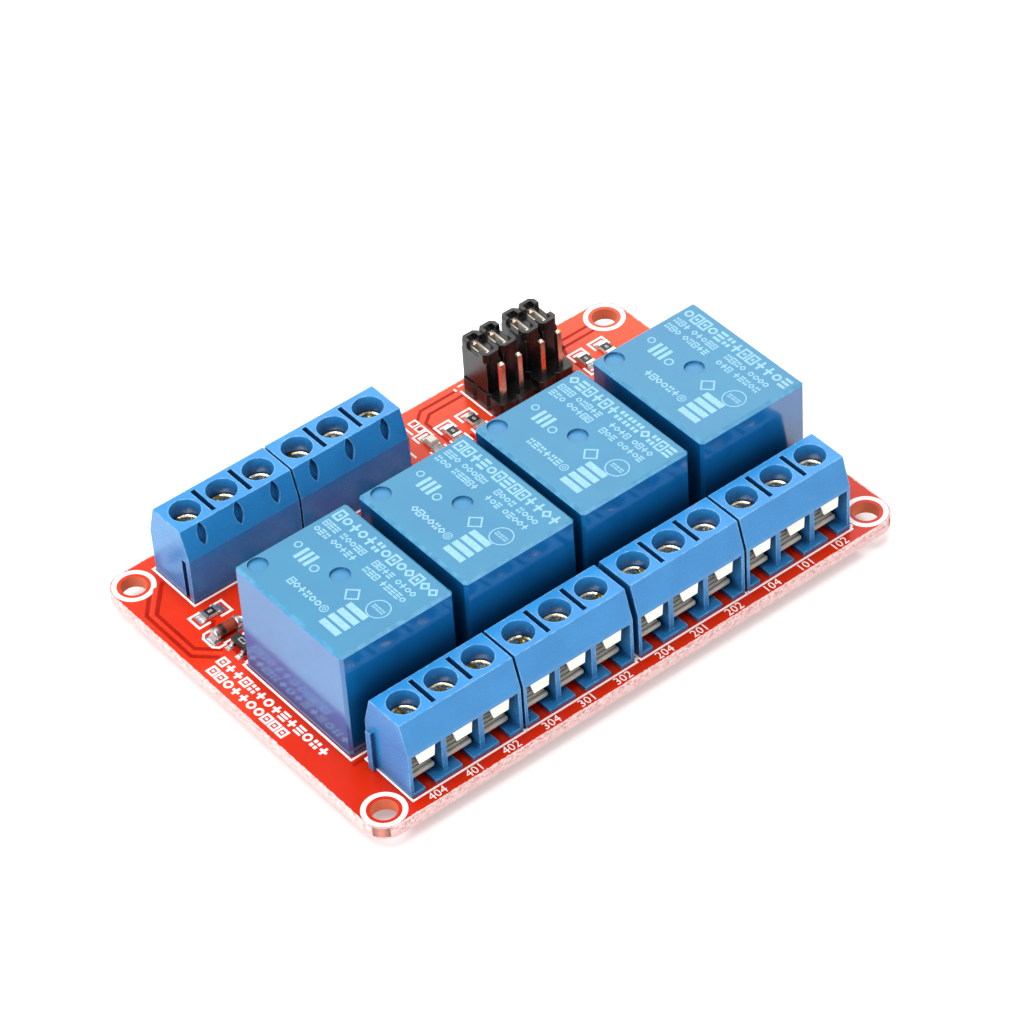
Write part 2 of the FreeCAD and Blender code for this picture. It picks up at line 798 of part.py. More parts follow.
def save_small_parts():
    chips = [placed(chip_resistor(along_y), x, y, board_top) for x, y, along_y in resistor_places()]
    power_lamp = placed(indicator_lamp(), power_lamp_x, header_y - power_lamp_setback, board_top)
    save("resistors", Part.makeCompound(chips))
    save("diodes", Part.makeCompound(behind_relays(glass_diode(), driver_x, diode_y)))
    save("transistors", Part.makeCompound(behind_relays(transistor(), driver_x, driver_y)))
    save("optocouplers", Part.makeCompound(behind_relays(optocoupler(), coupler_x, coupler_y)))
    save("indicator_lamps", Part.makeCompound([power_lamp] + behind_relays(indicator_lamp(), lamp_x, lamp_y)))


def main():
    os.makedirs("parts", exist_ok=True)
    save("circuit_board", circuit_board())
    save_terminals()
    save_relays()
    save_headers()
    save_small_parts()


main()
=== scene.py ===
import math
import random

import bmesh
import bpy
from mathutils import Matrix, Quaternion, Vector


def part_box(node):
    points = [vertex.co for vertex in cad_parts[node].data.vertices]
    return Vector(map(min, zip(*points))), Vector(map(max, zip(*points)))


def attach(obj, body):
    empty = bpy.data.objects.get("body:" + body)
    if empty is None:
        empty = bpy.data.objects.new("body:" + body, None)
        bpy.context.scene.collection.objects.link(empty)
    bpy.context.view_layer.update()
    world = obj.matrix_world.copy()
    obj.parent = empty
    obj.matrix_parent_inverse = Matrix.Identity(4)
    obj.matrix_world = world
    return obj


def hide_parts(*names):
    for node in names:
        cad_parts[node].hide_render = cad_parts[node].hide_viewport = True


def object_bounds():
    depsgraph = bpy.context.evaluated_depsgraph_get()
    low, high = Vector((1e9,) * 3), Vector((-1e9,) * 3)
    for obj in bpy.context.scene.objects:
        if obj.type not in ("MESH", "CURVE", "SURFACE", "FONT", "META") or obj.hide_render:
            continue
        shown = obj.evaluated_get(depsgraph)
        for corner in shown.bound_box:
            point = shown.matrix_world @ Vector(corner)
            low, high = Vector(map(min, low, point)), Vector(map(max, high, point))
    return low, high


# Relay board, dressed around its CAD model. Sizes are millimetres, shrunk to metres where a mesh is made.
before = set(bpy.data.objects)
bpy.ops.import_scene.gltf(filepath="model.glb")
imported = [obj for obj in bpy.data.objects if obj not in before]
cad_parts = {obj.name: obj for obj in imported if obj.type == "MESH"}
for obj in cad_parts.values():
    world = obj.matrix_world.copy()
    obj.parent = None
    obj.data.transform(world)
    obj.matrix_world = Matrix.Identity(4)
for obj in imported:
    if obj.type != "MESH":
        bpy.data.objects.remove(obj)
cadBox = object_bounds()
mm = 0.001
random.seed(11)
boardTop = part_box("circuit_board")[1].z / mm
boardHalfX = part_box("circuit_board")[1].x / mm
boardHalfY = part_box("circuit_board")[1].y / mm
print("frame in:", len(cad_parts), "groups of solids")

# where things stand, read off the frame
cornerRadius = 2.8  # the mounting holes stand at the centres of the rounded corners
holeX, holeY = boardHalfX - cornerRadius, boardHalfY - cornerRadius
polePitch = 5.08
poleSteps = (-1, 0, 1)
headerPitch = 2.54
corners = ((-1, -1), (1, -1), (1, 1), (-1, 1))  # the signs of a box's corners, in turn


def spanOf(node):  # x, y, z limits of a CAD node in millimetres
    low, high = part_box(node)
    return low / mm, high / mm


def solidsOf(node):  # middle and size of every separate solid in a node, from left to right
    shape = bmesh.new()
    shape.from_mesh(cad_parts[node].data)
    bmesh.ops.remove_doubles(shape, verts=shape.verts, dist=0.001 * mm)
    waiting = set(shape.verts)
    found = []
    while waiting:
        group = [waiting.pop()]
        for vert in group:
            for edge in vert.link_edges:
                other = edge.other_vert(vert)
                if other in waiting:
                    waiting.remove(other)
                    group.append(other)
        low = Vector([min(vert.co[axis] for vert in group) for axis in range(3)]) / mm
        high = Vector([max(vert.co[axis] for vert in group) for axis in range(3)]) / mm
        found.append(((low + high) / 2, high - low))
    shape.free()
    return sorted(found, key=lambda solid: (round(solid[0].x, 2), round(solid[0].y, 2)))


def placesOf(node):  # x, y of every solid in a node
    return [(middle.x, middle.y) for middle, size in solidsOf(node)]


blocks = []
for number in range(1, 7):
    low, high = spanOf("terminal_housing_%d" % number)
    turned = low.y > 0
    nubSide = 0.3 if turned else -0.3  # the dovetail sticks out on one end, so the middle is a little off
    blocks.append(dict(x=(low.x + high.x) / 2 - nubSide, wireY=high.y if turned else low.y,
                       inward=-1 if turned else 1))
relays = []
for number in range(1, 5):
    low, high = spanOf("relay_case_%d" % number)
    relays.append(dict(x=(low.x + high.x) / 2, front=low.y, back=high.y, left=low.x, right=high.x,
                       top=high.z))
relays.sort(key=lambda relay: relay["x"])
low, high = spanOf("header_bases")
headerX = (low.x + headerPitch, high.x - headerPitch)
headerY = (low.y + high.y) / 2
resistorPlaces = [(middle.x, middle.y, size.y > size.x) for middle, size in solidsOf("resistors")]
lampPlaces = placesOf("indicator_lamps")


# small helpers for shader nodes
def tint(red, green, blue):  # screen colour to the linear one a shader takes
    parts = [value / 255 for value in (red, green, blue)]
    return tuple(part / 12.92 if part <= 0.04 else ((part + 0.055) / 1.055) ** 2.4 for part in parts) + (1.0,)


def freshMaterial(name):
    material = bpy.data.materials.new(name)
    material.use_nodes = True
    return material, material.node_tree, material.node_tree.nodes["Principled BSDF"]


def feed(socket, value):  # from another node's socket, or a plain value
    if hasattr(value, "node"):
        socket.id_data.links.new(value, socket)
    else:
        socket.default_value = value


def fill(node, values):  # a node's sockets by name
    for name, value in values.items():
        feed(node.inputs[name], value)


def addNode(tree, kind, **settings):  # each setting is a socket of the node, or else an option of it
    node = tree.nodes.new(kind)
    for key, value in settings.items():
        if key in node.inputs:
            feed(node.inputs[key], value)
        else:
            setattr(node, key, value)
    return node


def calc(operation, *values, kind="ShaderNodeMath", result=0):  # one sum, from sockets or plain numbers
    tree = next(value.id_data for value in values if hasattr(value, "node"))
    node = addNode(tree, kind, operation=operation)
    for socket, value in zip(node.inputs, values):
        feed(socket, value)
    return node.outputs[result]


def times(first, second):
    return calc("MULTIPLY", first, second)


def blendColours(amount, first, second):  # colours may be sockets or plain values
    node = addNode(amount.id_data, "ShaderNodeMix", data_type="RGBA")
    for place, value in ((0, amount), (6, first), (7, second)):
        feed(node.inputs[place], value)
    return node.outputs[2]


def spread(value, fromLow=0.3, fromHigh=0.7, toLow=0.0, toHigh=1.0):  # one range of values onto another
    node = addNode(value.id_data, "ShaderNodeMapRange")
    fill(node, {"Value": value, "From Min": fromLow, "From Max": fromHigh, "To Min": toLow, "To Max": toHigh})
    return node.outputs["Result"]


def placeOf(tree):  # object coordinates, which on this frame are real metres from the board's middle
    return tree.nodes.new("ShaderNodeTexCoord").outputs["Object"]


def partsOf(vector):  # its x, y and z
    return addNode(vector.id_data, "ShaderNodeSeparateXYZ", Vector=vector).outputs


def faceWay(tree):  # which way a face looks
    return tree.nodes.new("ShaderNodeNewGeometry").outputs["Normal"]


def upness(tree):  # 1 on level faces, 0 on upright ones
    return calc("ABSOLUTE", partsOf(faceWay(tree))[2])


def noiseOf(place, size, detail=3.0, rough=0.55):  # size is the width of one blotch in millimetres
    node = addNode(place.id_data, "ShaderNodeTexNoise", Vector=place, Scale=1 / (size * mm), Detail=detail,
                   Roughness=rough)
    return node.outputs["Fac"]


def ridgesOf(place, way, pitch, uneven, detail):  # even ridges across X, Y or Z, pitch in millimetres
    node = addNode(place.id_data, "ShaderNodeTexWave", wave_type="BANDS", bands_direction=way, Vector=place,
                   Scale=0.314 / (pitch * mm), Distortion=uneven, Detail=detail)
    return node.outputs["Fac"]


def stretched(place, scale):
    return addNode(place.id_data, "ShaderNodeMapping", Vector=place, Scale=scale).outputs[0]


def bumpFrom(shader, height, depth, below=None):  # depth in millimetres
    node = addNode(height.id_data, "ShaderNodeBump", Height=height, Strength=1.0, Distance=depth * mm)
    if below is not None:
        feed(node.inputs["Normal"], below)
    feed(shader.inputs["Normal"], node.outputs["Normal"])


def edgeWearAndHighlight(place, radius, patch):  # 1 along sharp edges, broken up into patches, and 0 elsewhere
    soft = addNode(place.id_data, "ShaderNodeBevel", samples=4, Radius=radius * mm).outputs["Normal"]
    lean = calc("DOT_PRODUCT", soft, faceWay(place.id_data), kind="ShaderNodeVectorMath", result=1)
    broken = spread(noiseOf(place, patch, detail=5.0), 0.4, 0.65, 0.15, 1.0)
    return times(spread(lean, 0.998, 0.965), broken)


# painted shade: from ambient occlusion, how much holes, grooves and narrow gaps are darkened
def paintedShadeAmount(tree, reach, most):  # 0 in the open, up to most in holes, grooves and narrow gaps
    paintedNookShade = addNode(tree, "ShaderNodeAmbientOcclusion", samples=4, Distance=reach * mm)
    return spread(paintedNookShade.outputs["AO"], 0.3, 0.85, most, 0.0)


# finishes
def mouldedPlastic(name, look):
    material, tree, shader = freshMaterial(name)
    place = placeOf(tree)
    cloud = spread(noiseOf(place, look["cloudSize"]))
    grain = noiseOf(place, look["grainSize"], detail=4.0, rough=0.7)
    colour = blendColours(cloud, look["colour"], look["deep"])
    # pale edges: partly wear and burrs, partly a painted highlight along the edges
    if "wornAndLitEdge" in look:
        colour = blendColours(edgeWearAndHighlight(place, look["wornAndLitEdgeWidth"], 0.8), colour, look["wornAndLitEdge"])
    if "sunk" in look:  # painted shade: holes, grooves and bays are darkened
        colour = blendColours(paintedShadeAmount(tree, look["sunk"], 0.85), colour, look["paintedNookShade"])
    if "seamHeight" in look:  # the mould's parting line across the upright end walls
        sideways = calc("ABSOLUTE", partsOf(faceWay(tree))[0])
        away = calc("ABSOLUTE", calc("SUBTRACT", partsOf(place)[2], look["seamHeight"] * mm))
        seam = times(calc("GREATER_THAN", sideways, 0.9),
                    spread(away, 0.02 * mm, 0.07 * mm, 0.55, 0.0))
        colour = blendColours(seam, colour, look["seam"])
    rough = spread(grain, 0.3, 0.7, look["rough"] - 0.05, look["rough"] + 0.07)
    fill(shader, {"Base Color": colour, "Roughness": rough, "Specular IOR Level": look.get("shine", 0.5)})
    bumpFrom(shader, grain, look["grainDepth"])
    return material


def metalFinish(name, look):
    material, tree, shader = freshMaterial(name)
    place = placeOf(tree)
    fine = noiseOf(stretched(place, look.get("brush", (1, 1, 1))), look["grainSize"], detail=5.0, rough=0.65)
    stain = spread(noiseOf(place, look["stainSize"]), 0.35, 0.7)
    colour = blendColours(stain, look["colour"], look["deep"])
    if "ridge" in look:  # rolled ridges that grip a wire, running across the bay, drawn as dark bands of painted shade
        rolled = spread(ridgesOf(place, "Y", look["ridge"], 1.5, 2.0), 0.0, 0.35, 0.8, 0.0)
        colour = blendColours(times(rolled, upness(tree)), colour, look["paintedNookShade"])
    # painted shade: the metal darkens in hollows
    if "sunk" in look:
        colour = blendColours(paintedShadeAmount(tree, look["sunk"], 0.9), colour, look["paintedNookShade"])
    rough = spread(fine, 0.3, 0.7, look["rough"] - 0.07, look["rough"] + 0.1)
    fill(shader, {"Base Color": colour, "Roughness": rough, "Metallic": look.get("metal", 1.0)})
    bumpFrom(shader, fine, look["grainDepth"])
    return material


def plainPrint(name, look):  # ink: matt, a little uneven, and thin at places
    material, tree, shader = freshMaterial(name)
    patch = noiseOf(placeOf(tree), look["patchSize"], detail=5.0, rough=0.7)
    colour = blendColours(spread(patch, 0.35, 0.75, 0.0, look["thin"]), look["colour"], look["under"])
    fill(shader, {"Base Color": colour, "Roughness": look["rough"]})
    bumpFrom(shader, patch, 0.01)
    return material


def boardFinish(look):
    # solder mask on the flat faces, bare laminate at the rim and the cut edges, copper in the mounting holes
    material, tree, shader = freshMaterial("boardMask")
    place = placeOf(tree)
    alongX, alongY, height = partsOf(place)
    besideX, besideY = calc("ABSOLUTE", alongX), calc("ABSOLUTE", alongY)

    def lengthOf(*sides):
        return calc("SQRT", calc("ADD", *[times(side, side) for side in sides]))

    pastX, pastY = calc("SUBTRACT", besideX, holeX * mm), calc("SUBTRACT", besideY, holeY * mm)
    overX, overY = calc("MAXIMUM", pastX, 0.0), calc("MAXIMUM", pastY, 0.0)
    chips = noiseOf(place, look["chipSize"], detail=5.0, rough=0.7)
    ragged = spread(chips, 0.3, 0.7, -look["ragged"] * mm, look["ragged"] * mm)
    bareRim = calc("GREATER_THAN", calc("ADD", lengthOf(overX, overY), ragged),
                   (cornerRadius - look["rimWidth"]) * mm)
    inHole = calc("LESS_THAN", lengthOf(pastX, pastY), look["holeRadius"] * mm)
    flat = calc("GREATER_THAN", upness(tree), 0.7)
    masked = times(flat, calc("SUBTRACT", 1.0, bareRim))
    # mask colour, cloudy, with a painted glare that pales it towards the rear right
    cloud = spread(noiseOf(place, look["cloudSize"]))
    mask = blendColours(cloud, look["mask"], look["maskDeep"])
    farther = calc("ADD", times(alongX, 0.8), times(alongY, 0.6))
    mask = blendColours(spread(farther, -12 * mm, 30 * mm, 0.0, look["paintedGlareAmount"]), mask, look["maskPaintedGlare"])
    # painted shade: the mask darkens towards the front edge
    mask = blendColours(spread(alongY, -24 * mm, 2 * mm, 0.8, 0.0), mask, look["maskPaintedShadeNear"])
    mask = blendColours(paintedShadeAmount(tree, look["shadeReach"], 0.8), mask, look["maskShade"])
    # laminate edge: glass layers with pale broken fibres, whiter towards its lower half, where a painted glow
    # of the pale table lies
    fibre = noiseOf(stretched(place, (1, 1, 1.6)), look["fibreSize"], detail=7.0, rough=0.95)
    laminate = blendColours(spread(fibre, 0.41, 0.53), look["laminate"], look["fibre"])
    # painted glow: the edge's lower half pales into the white of the table
    laminate = blendColours(spread(height, 0.5 * mm, 1.1 * mm, 0.6, 0.0), laminate, look["paleLaminateAndGlow"])
    # the plated barrel of a corner hole shows through the thin laminate round it
    aside = calc("ABSOLUTE", calc("SUBTRACT", overX, overY))
    barrel = times(spread(aside, 1.3 * mm, 1.5 * mm, 1.0, 0.0),
                  calc("GREATER_THAN", height, 0.25 * mm))
    copper = blendColours(spread(aside, 0.2 * mm, 1.2 * mm), look["barrel"], look["barrelDark"])
    laminate = blendColours(times(barrel, 0.85), laminate, copper)
    side = blendColours(inHole, laminate, look["holeWall"])
    side = blendColours(times(flat, 0.6), side, look["paleLaminateAndGlow"])
    weave = times(noiseOf(place, look["weaveSize"], detail=2.0), 0.4)
    bareFibre = times(fibre, calc("SUBTRACT", 1.0, masked))
    bumpFrom(shader, calc("ADD", weave, bareFibre), 0.02)
    fill(shader, {"Base Color": blendColours(masked, side, mask), "Specular IOR Level": look["shine"],
                        "Roughness": spread(masked, 0.0, 1.0, look["laminateRough"], look["maskRough"])})
    return material


def relayFinish(look):
    # smooth bowed sides and a finer matt top, with the rim paled partly by wear and partly by a painted
    # highlight
    material, tree, shader = freshMaterial("relayBlue")
    place = placeOf(tree)
    level = upness(tree)
    cloud = spread(noiseOf(place, look["cloudSize"]))
    grain = noiseOf(place, look["grainSize"], detail=4.0, rough=0.7)
    body = blendColours(cloud, look["colour"], look["deep"])
    top = blendColours(cloud, look["top"], look["topDeep"])
    # the round gate dimples are smoother and deeper in tone than the top round them
    below = calc("LESS_THAN", partsOf(place)[2], (look["height"] - 0.08) * mm)
    top = blendColours(times(below, level), top, look["dimple"])
    colour = blendColours(spread(level, 0.3, 0.6), body, top)
    # painted shade: darker in the gaps between the relays and in other nooks
    colour = blendColours(paintedShadeAmount(tree, look["shadeReach"], 0.8), colour, look["paintedNookShade"])
    # the rim's pale patches: partly wear, partly a painted highlight
    onRim = times(spread(level, 0.2, 0.45), spread(level, 0.8, 0.97, 1.0, 0.0))
    patchy = spread(noiseOf(place, look["rimWornAndLitSize"], detail=6.0), 0.42, 0.66, 0.12, look["rimWornAndLit"])
    colour = blendColours(times(onRim, patchy), colour, look["rim"])
    rough = calc("ADD", spread(level, 0.05, 0.35, look["sideRough"], look["topRough"]),
                 spread(grain, 0.3, 0.7, -0.02, 0.03))
    fill(shader, {"Base Color": colour, "Roughness": rough, "Specular IOR Level": look["shine"]})
    # the thin walls bow a little, which tips what they mirror
    bow = addNode(tree, "ShaderNodeCombineXYZ", Z=spread(level, 0.0, 0.5, look["bow"], 0.0)).outputs[0]
    tipped = calc("ADD", faceWay(tree), bow, kind="ShaderNodeVectorMath")
    settled = calc("NORMALIZE", tipped, kind="ShaderNodeVectorMath")
    strong = times(grain, spread(level, 0.5, 1.0, 0.12, 1.0))
    wave = times(noiseOf(place, look["waveSize"], detail=1.0), 0.9)
    bumpFrom(shader, calc("ADD", strong, wave), 0.012, below=settled)
    return material


def windingFinish(look):  # enamelled wire laid turn on turn
    material, tree, shader = freshMaterial("enamelledWire")
    turns = ridgesOf(placeOf(tree), "Z", look["wireWidth"], 0.4, 1.0)
    fill(shader, {"Base Color": blendColours(turns, look["deep"], look["colour"]),
                        "Metallic": look["metal"], "Roughness": look["rough"]})
    bumpFrom(shader, turns, 0.03)
    return material


def clearResin(name, look):
    material, tree, shader = freshMaterial(name)
    cloud = noiseOf(placeOf(tree), 0.6)
    fill(shader, {"Base Color": blendColours(cloud, look["colour"], look["deep"]), "IOR": 1.5,
                        "Roughness": look["rough"], "Transmission Weight": look["clear"]})
    bumpFrom(shader, cloud, 0.01)
    return material


finishes = {
    "board": boardFinish(dict(
        mask=tint(220, 50, 10), maskDeep=tint(208, 42, 8), maskPaintedGlare=tint(230, 78, 42), paintedGlareAmount=0.85,
        maskPaintedShadeNear=tint(190, 34, 6), maskShade=tint(136, 10, 2), cloudSize=9.0, shadeReach=2.0,
        laminate=tint(186, 92, 88), fibre=tint(250, 222, 218), paleLaminateAndGlow=tint(234, 196, 194), fibreSize=0.6,
        barrel=tint(206, 128, 108), barrelDark=tint(124, 58, 44), holeWall=tint(216, 116, 80),
        holeRadius=1.72, rimWidth=0.17, ragged=0.09, chipSize=0.35, weaveSize=0.35,
        maskRough=0.26, laminateRough=0.55, shine=0.22)),
    "track": mouldedPlastic("maskOverCopper", dict(
        colour=tint(226, 56, 22), deep=tint(214, 46, 16), rough=0.26, shine=0.22,
        cloudSize=6.0, grainSize=0.3, grainDepth=0.004)),
    "gap": mouldedPlastic("maskOverLaminate", dict(
        colour=tint(172, 26, 6), deep=tint(152, 18, 4), rough=0.3, shine=0.1,
        cloudSize=3.0, grainSize=0.3, grainDepth=0.004)),
    "terminal": mouldedPlastic("terminalBlue", dict(
        colour=tint(46, 136, 200), deep=tint(40, 126, 190), rough=0.24, shine=0.4,
        cloudSize=4.0, grainSize=0.12, grainDepth=0.004, wornAndLitEdge=tint(140, 196, 230), wornAndLitEdgeWidth=0.2,
        seam=tint(20, 70, 130), seamHeight=boardTop + 6.35, sunk=3.0, paintedNookShade=tint(6, 34, 80))),
    "relay": relayFinish(dict(
        colour=tint(16, 104, 168), deep=tint(12, 94, 157), top=tint(18, 122, 162), topDeep=tint(12, 116, 157),
        cloudSize=6.0, grainSize=0.16, rim=tint(96, 170, 204), rimWornAndLit=0.5, rimWornAndLitSize=1.1, bow=0.09, waveSize=5.0,
        dimple=tint(10, 122, 172), height=relays[0]["top"], paintedNookShade=tint(2, 30, 58), shadeReach=5.0,
        sideRough=0.13, topRough=0.42, shine=0.95)),
    "black": mouldedPlastic("blackNylon", dict(
        colour=tint(15, 14, 14), deep=tint(9, 9, 9), rough=0.24, shine=0.4,
        cloudSize=2.0, grainSize=0.1, grainDepth=0.008, wornAndLitEdge=tint(84, 84, 86), wornAndLitEdgeWidth=0.06)),
    "chip": mouldedPlastic("chipBlack", dict(
        colour=tint(34, 34, 36), deep=tint(22, 22, 24), rough=0.42,
        cloudSize=0.8, grainSize=0.06, grainDepth=0.004)),
    "ceramic": mouldedPlastic("ceramic", dict(
        colour=tint(226, 222, 214), deep=tint(206, 200, 190), rough=0.5,
        cloudSize=0.6, grainSize=0.05, grainDepth=0.003)),
    "strip": metalFinish("tinnedStrip", dict(
        colour=tint(246, 242, 232), deep=tint(228, 222, 208), rough=0.34, metal=0.6,
        grainSize=0.1, stainSize=1.6, grainDepth=0.006, brush=(1, 6, 6))),
    "jaw": metalFinish("clampJaw", dict(
        colour=tint(255, 252, 240), deep=tint(248, 240, 220), rough=0.34, metal=0.15,
        grainSize=0.1, stainSize=0.7, grainDepth=0.008, brush=(1, 3, 3),
        ridge=0.55, sunk=2.4, paintedNookShade=tint(26, 22, 20))),
    "guard": metalFinish("guardTin", dict(
        colour=tint(238, 235, 226), deep=tint(222, 217, 205), rough=0.4, metal=0.5,
        grainSize=0.1, stainSize=1.6, grainDepth=0.006, brush=(1, 6, 6))),
    "screw": metalFinish("nickelScrew", dict(
        colour=tint(252, 249, 240), deep=tint(226, 216, 184), rough=0.24,
        grainSize=0.25, stainSize=0.5, grainDepth=0.008)),
    # painted shade: a darker metal for the walls and floor of the screw recess
    "recess": metalFinish("screwRecessPaintedShade", dict(
        colour=tint(176, 166, 118), deep=tint(116, 102, 60), rough=0.4,
        grainSize=0.3, stainSize=0.6, grainDepth=0.002)),
    "pin": metalFinish("headerPin", dict(
        colour=tint(222, 200, 184), deep=tint(206, 176, 154), rough=0.24,
        grainSize=0.08, stainSize=0.8, grainDepth=0.002, brush=(6, 6, 1))),
    "solder": metalFinish("solder", dict(
        colour=tint(232, 230, 228), deep=tint(178, 176, 176), rough=0.26, metal=0.9,
        grainSize=0.4, stainSize=0.5, grainDepth=0.008)),
    "iron": metalFinish("platedIron", dict(
        colour=tint(186, 184, 180), deep=tint(160, 158, 154), rough=0.34,
        grainSize=0.2, stainSize=2.0, grainDepth=0.006)),
    "winding": windingFinish(dict(
        colour=tint(205, 110, 60), deep=tint(110, 40, 18), rough=0.32, metal=0.7, wireWidth=0.23675)),
    "silk": plainPrint("boardInk", dict(
        colour=tint(250, 246, 244), under=tint(236, 160, 142), thin=0.3, patchSize=0.25, rough=0.55)),
    "relayInk": plainPrint("relayInk", dict(
        colour=tint(150, 196, 214), under=tint(84, 150, 188), thin=0.8, patchSize=0.16, rough=0.5)),
    "chipInk": plainPrint("chipInk", dict(
        colour=tint(214, 214, 206), under=tint(90, 90, 90), thin=0.6, patchSize=0.1, rough=0.6)),
    "glass": clearResin("diodeGlass", dict(
        colour=tint(196, 92, 62), deep=tint(150, 48, 30), clear=0.35, rough=0.12)),
    "lampClear": clearResin("lampResin", dict(
        colour=tint(238, 236, 222), deep=tint(222, 216, 190), clear=0.25, rough=0.12)),
}
print("finishes made:", len(finishes))


# small helpers for meshes
def shownObject(name, data):
    thing = bpy.data.objects.new(name, data)
    bpy.context.scene.collection.objects.link(thing)
    return thing


def finishPiece(name, mesh, finishNames, bevel=None, smooth=40):
    # millimetre mesh to a shown object that rides on the board
    bmesh.ops.scale(mesh, vec=(mm, mm, mm), verts=mesh.verts)
    bmesh.ops.recalc_face_normals(mesh, faces=mesh.faces)
    data = bpy.data.meshes.new(name)
    mesh.to_mesh(data)
    mesh.free()
    for finish in finishNames:
        data.materials.append(finishes[finish])
    for polygon in data.polygons:
        polygon.use_smooth = True
    data.set_sharp_from_angle(angle=math.radians(smooth))
    piece = shownObject(name, data)
    if bevel:
        addBevel(piece, bevel)
    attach(piece, "board")
    return piece


def addBevel(piece, width):
    look = dict(steps=2, sharperThan=32)
    bevel = piece.modifiers.new("edges", "BEVEL")
    bevel.width = width * mm
    bevel.segments = look["steps"]
    bevel.limit_method = "ANGLE"
    bevel.angle_limit = math.radians(look["sharperThan"])
    bevel.use_clamp_overlap = True
    bevel.harden_normals = True


def dressNode(node, finish, bevel=None):
    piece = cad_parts[node]
    piece.data.materials.clear()
    piece.data.materials.append(finishes[finish])
    if bevel:
        join = piece.modifiers.new("join", "WELD")
        join.merge_threshold = 0.002 * mm
        addBevel(piece, bevel)


def closedSkin(mesh, rings, finish=0):  # walls between rings with as many corners, closed at both ends
    faces = [mesh.faces.new(rings[0]), mesh.faces.new(rings[-1])]
    count = len(rings[0])
    for near, far in zip(rings, rings[1:]):
        for side in range(count):
            after = (side + 1) % count
            faces.append(mesh.faces.new((near[side], near[after], far[after], far[side])))
    for face in faces:
        face.material_index = finish


def prism(mesh, outline, low, high, finish=0):  # upright prism over an outline of (x, y)
    closedSkin(mesh, [[mesh.verts.new((x, y, z)) for x, y in outline] for z in (low, high)], finish)


def slab(mesh, x, y, wide, deep, low, high, finish=0, turn=0.0):
    cosine, sine = math.cos(turn), math.sin(turn)
    spots = [(a * wide / 2, b * deep / 2) for a, b in corners]
    prism(mesh, [(x + a * cosine - b * sine, y + a * sine + b * cosine) for a, b in spots], low, high, finish)


def stack(mesh, x, y, levels):  # a moulded body from its half width, half depth and height at each level
    closedSkin(mesh, [[mesh.verts.new((x + a * halfX, y + b * halfY, boardTop + height)) for a, b in corners]
                      for halfX, halfY, height in levels])


def circle(x, y, radius, sides):
    turns = [2 * math.pi * step / sides for step in range(sides)]
    return [(x + radius * math.cos(turn), y + radius * math.sin(turn)) for turn in turns]


def ribbon(mesh, points, width, low, high, closed=False, finish=0):
    # a flat band along a bent line, mitred at its corners
    flat = [Vector(point) for point in points]
    count = len(flat)
    lefts, rights = [], []
    for place, point in enumerate(flat):
        ways = []
        if closed or place:
            ways.append((point - flat[(place - 1) % count]).normalized())
        if closed or place < count - 1:
            ways.append((flat[(place + 1) % count] - point).normalized())
        way = sum(ways, Vector((0, 0))).normalized()
        side = Vector((-way.y, way.x))
        stretch = 1 / max(0.35, abs(side.dot(Vector((-ways[0].y, ways[0].x)))))
        lefts.append(point + side * width / 2 * stretch)
        rights.append(point - side * width / 2 * stretch)
    rows = [[mesh.verts.new((spot.x, spot.y, z)) for spot in line]
            for line, z in ((lefts, low), (lefts, high), (rights, high), (rights, low))]
    for place in range(count if closed else count - 1):
        after = (place + 1) % count
        for upper, lower in zip(rows, rows[1:]):
            face = mesh.faces.new((upper[place], upper[after], lower[after], lower[place]))
            face.material_index = finish
    if not closed:
        for place in (0, count - 1):
            mesh.faces.new([row[place] for row in rows]).material_index = finish


def hoop(mesh, x, y, inner, outer, low, high, sides=64):
    ribbon(mesh, circle(x, y, (inner + outer) / 2, sides), outer - inner, low, high, closed=True)


def dot(mesh, x, y, radius, low, high, sides=24, finish=0):
    prism(mesh, circle(x, y, radius, sides), low, high, finish)


def lathe(mesh, x, y, outline, sides):  # outline of (radius, z) turned about an upright axis
    rings = []
    for radius, z in outline:
        spots = circle(x, y, radius, sides) if radius else [(x, y)]
        rings.append([mesh.verts.new((a, b, z)) for a, b in spots])
    for lower, upper in zip(rings, rings[1:]):
        for side in range(sides):
            after = (side + 1) % sides
            around = [lower[side % len(lower)], lower[after % len(lower)],
                      upper[after % len(upper)], upper[side % len(upper)]]
            unique = list(dict.fromkeys(around))
            if len(unique) > 2:
                mesh.faces.new(unique)


def numeral(mesh, words, x, y, height, turn, low, high):
    # plain figures, centred on a spot, from Blender's own font
    curve = bpy.data.curves.new("figure", "FONT")
    curve.body = words
    curve.size = height * 1.4
    curve.align_x = "CENTER"
    curve.align_y = "CENTER"
    curve.extrude = (high - low) / 2
    curve.resolution_u = 2
    holder = shownObject("figure", curve)
    shape = bpy.data.meshes.new_from_object(holder.evaluated_get(bpy.context.evaluated_depsgraph_get()))
    shape.transform(Matrix.Translation((x, y, (low + high) / 2)) @ Matrix.Rotation(turn, 4, "Z"))
    mesh.from_mesh(shape)
    bpy.data.objects.remove(holder)
    bpy.data.curves.remove(curve)
    bpy.data.meshes.remove(shape)


# CAD pieces that keep their shape: how many there are, the finish, and the width of the rounded edges
dressing = dict(
    terminal_housing=(6, "terminal", 0.12), terminal_contacts=(6, "jaw", 0.06),
    wire_guards=(6, "guard", 0.05), relay_case=(4, "relay", 0.14),
    relay_base=(4, "black", None), relay_winding=(4, "winding", None),
    relay_yoke=(4, "iron", None), relay_armature=(4, "iron", 0.05), relay_terminals=(4, "solder", None),
    jumper_cap=(4, "black", 0.1), jumper_clip=(4, "strip", 0.04))
for kind, (count, finish, edge) in dressing.items():
    for number in range(1, count + 1):
        dressNode("%s_%d" % (kind, number), finish, edge)
dressNode("circuit_board", "board")
dressNode("header_bases", "black", 0.08)
dressNode("header_pins", "pin", 0.05)
print("CAD pieces dressed")


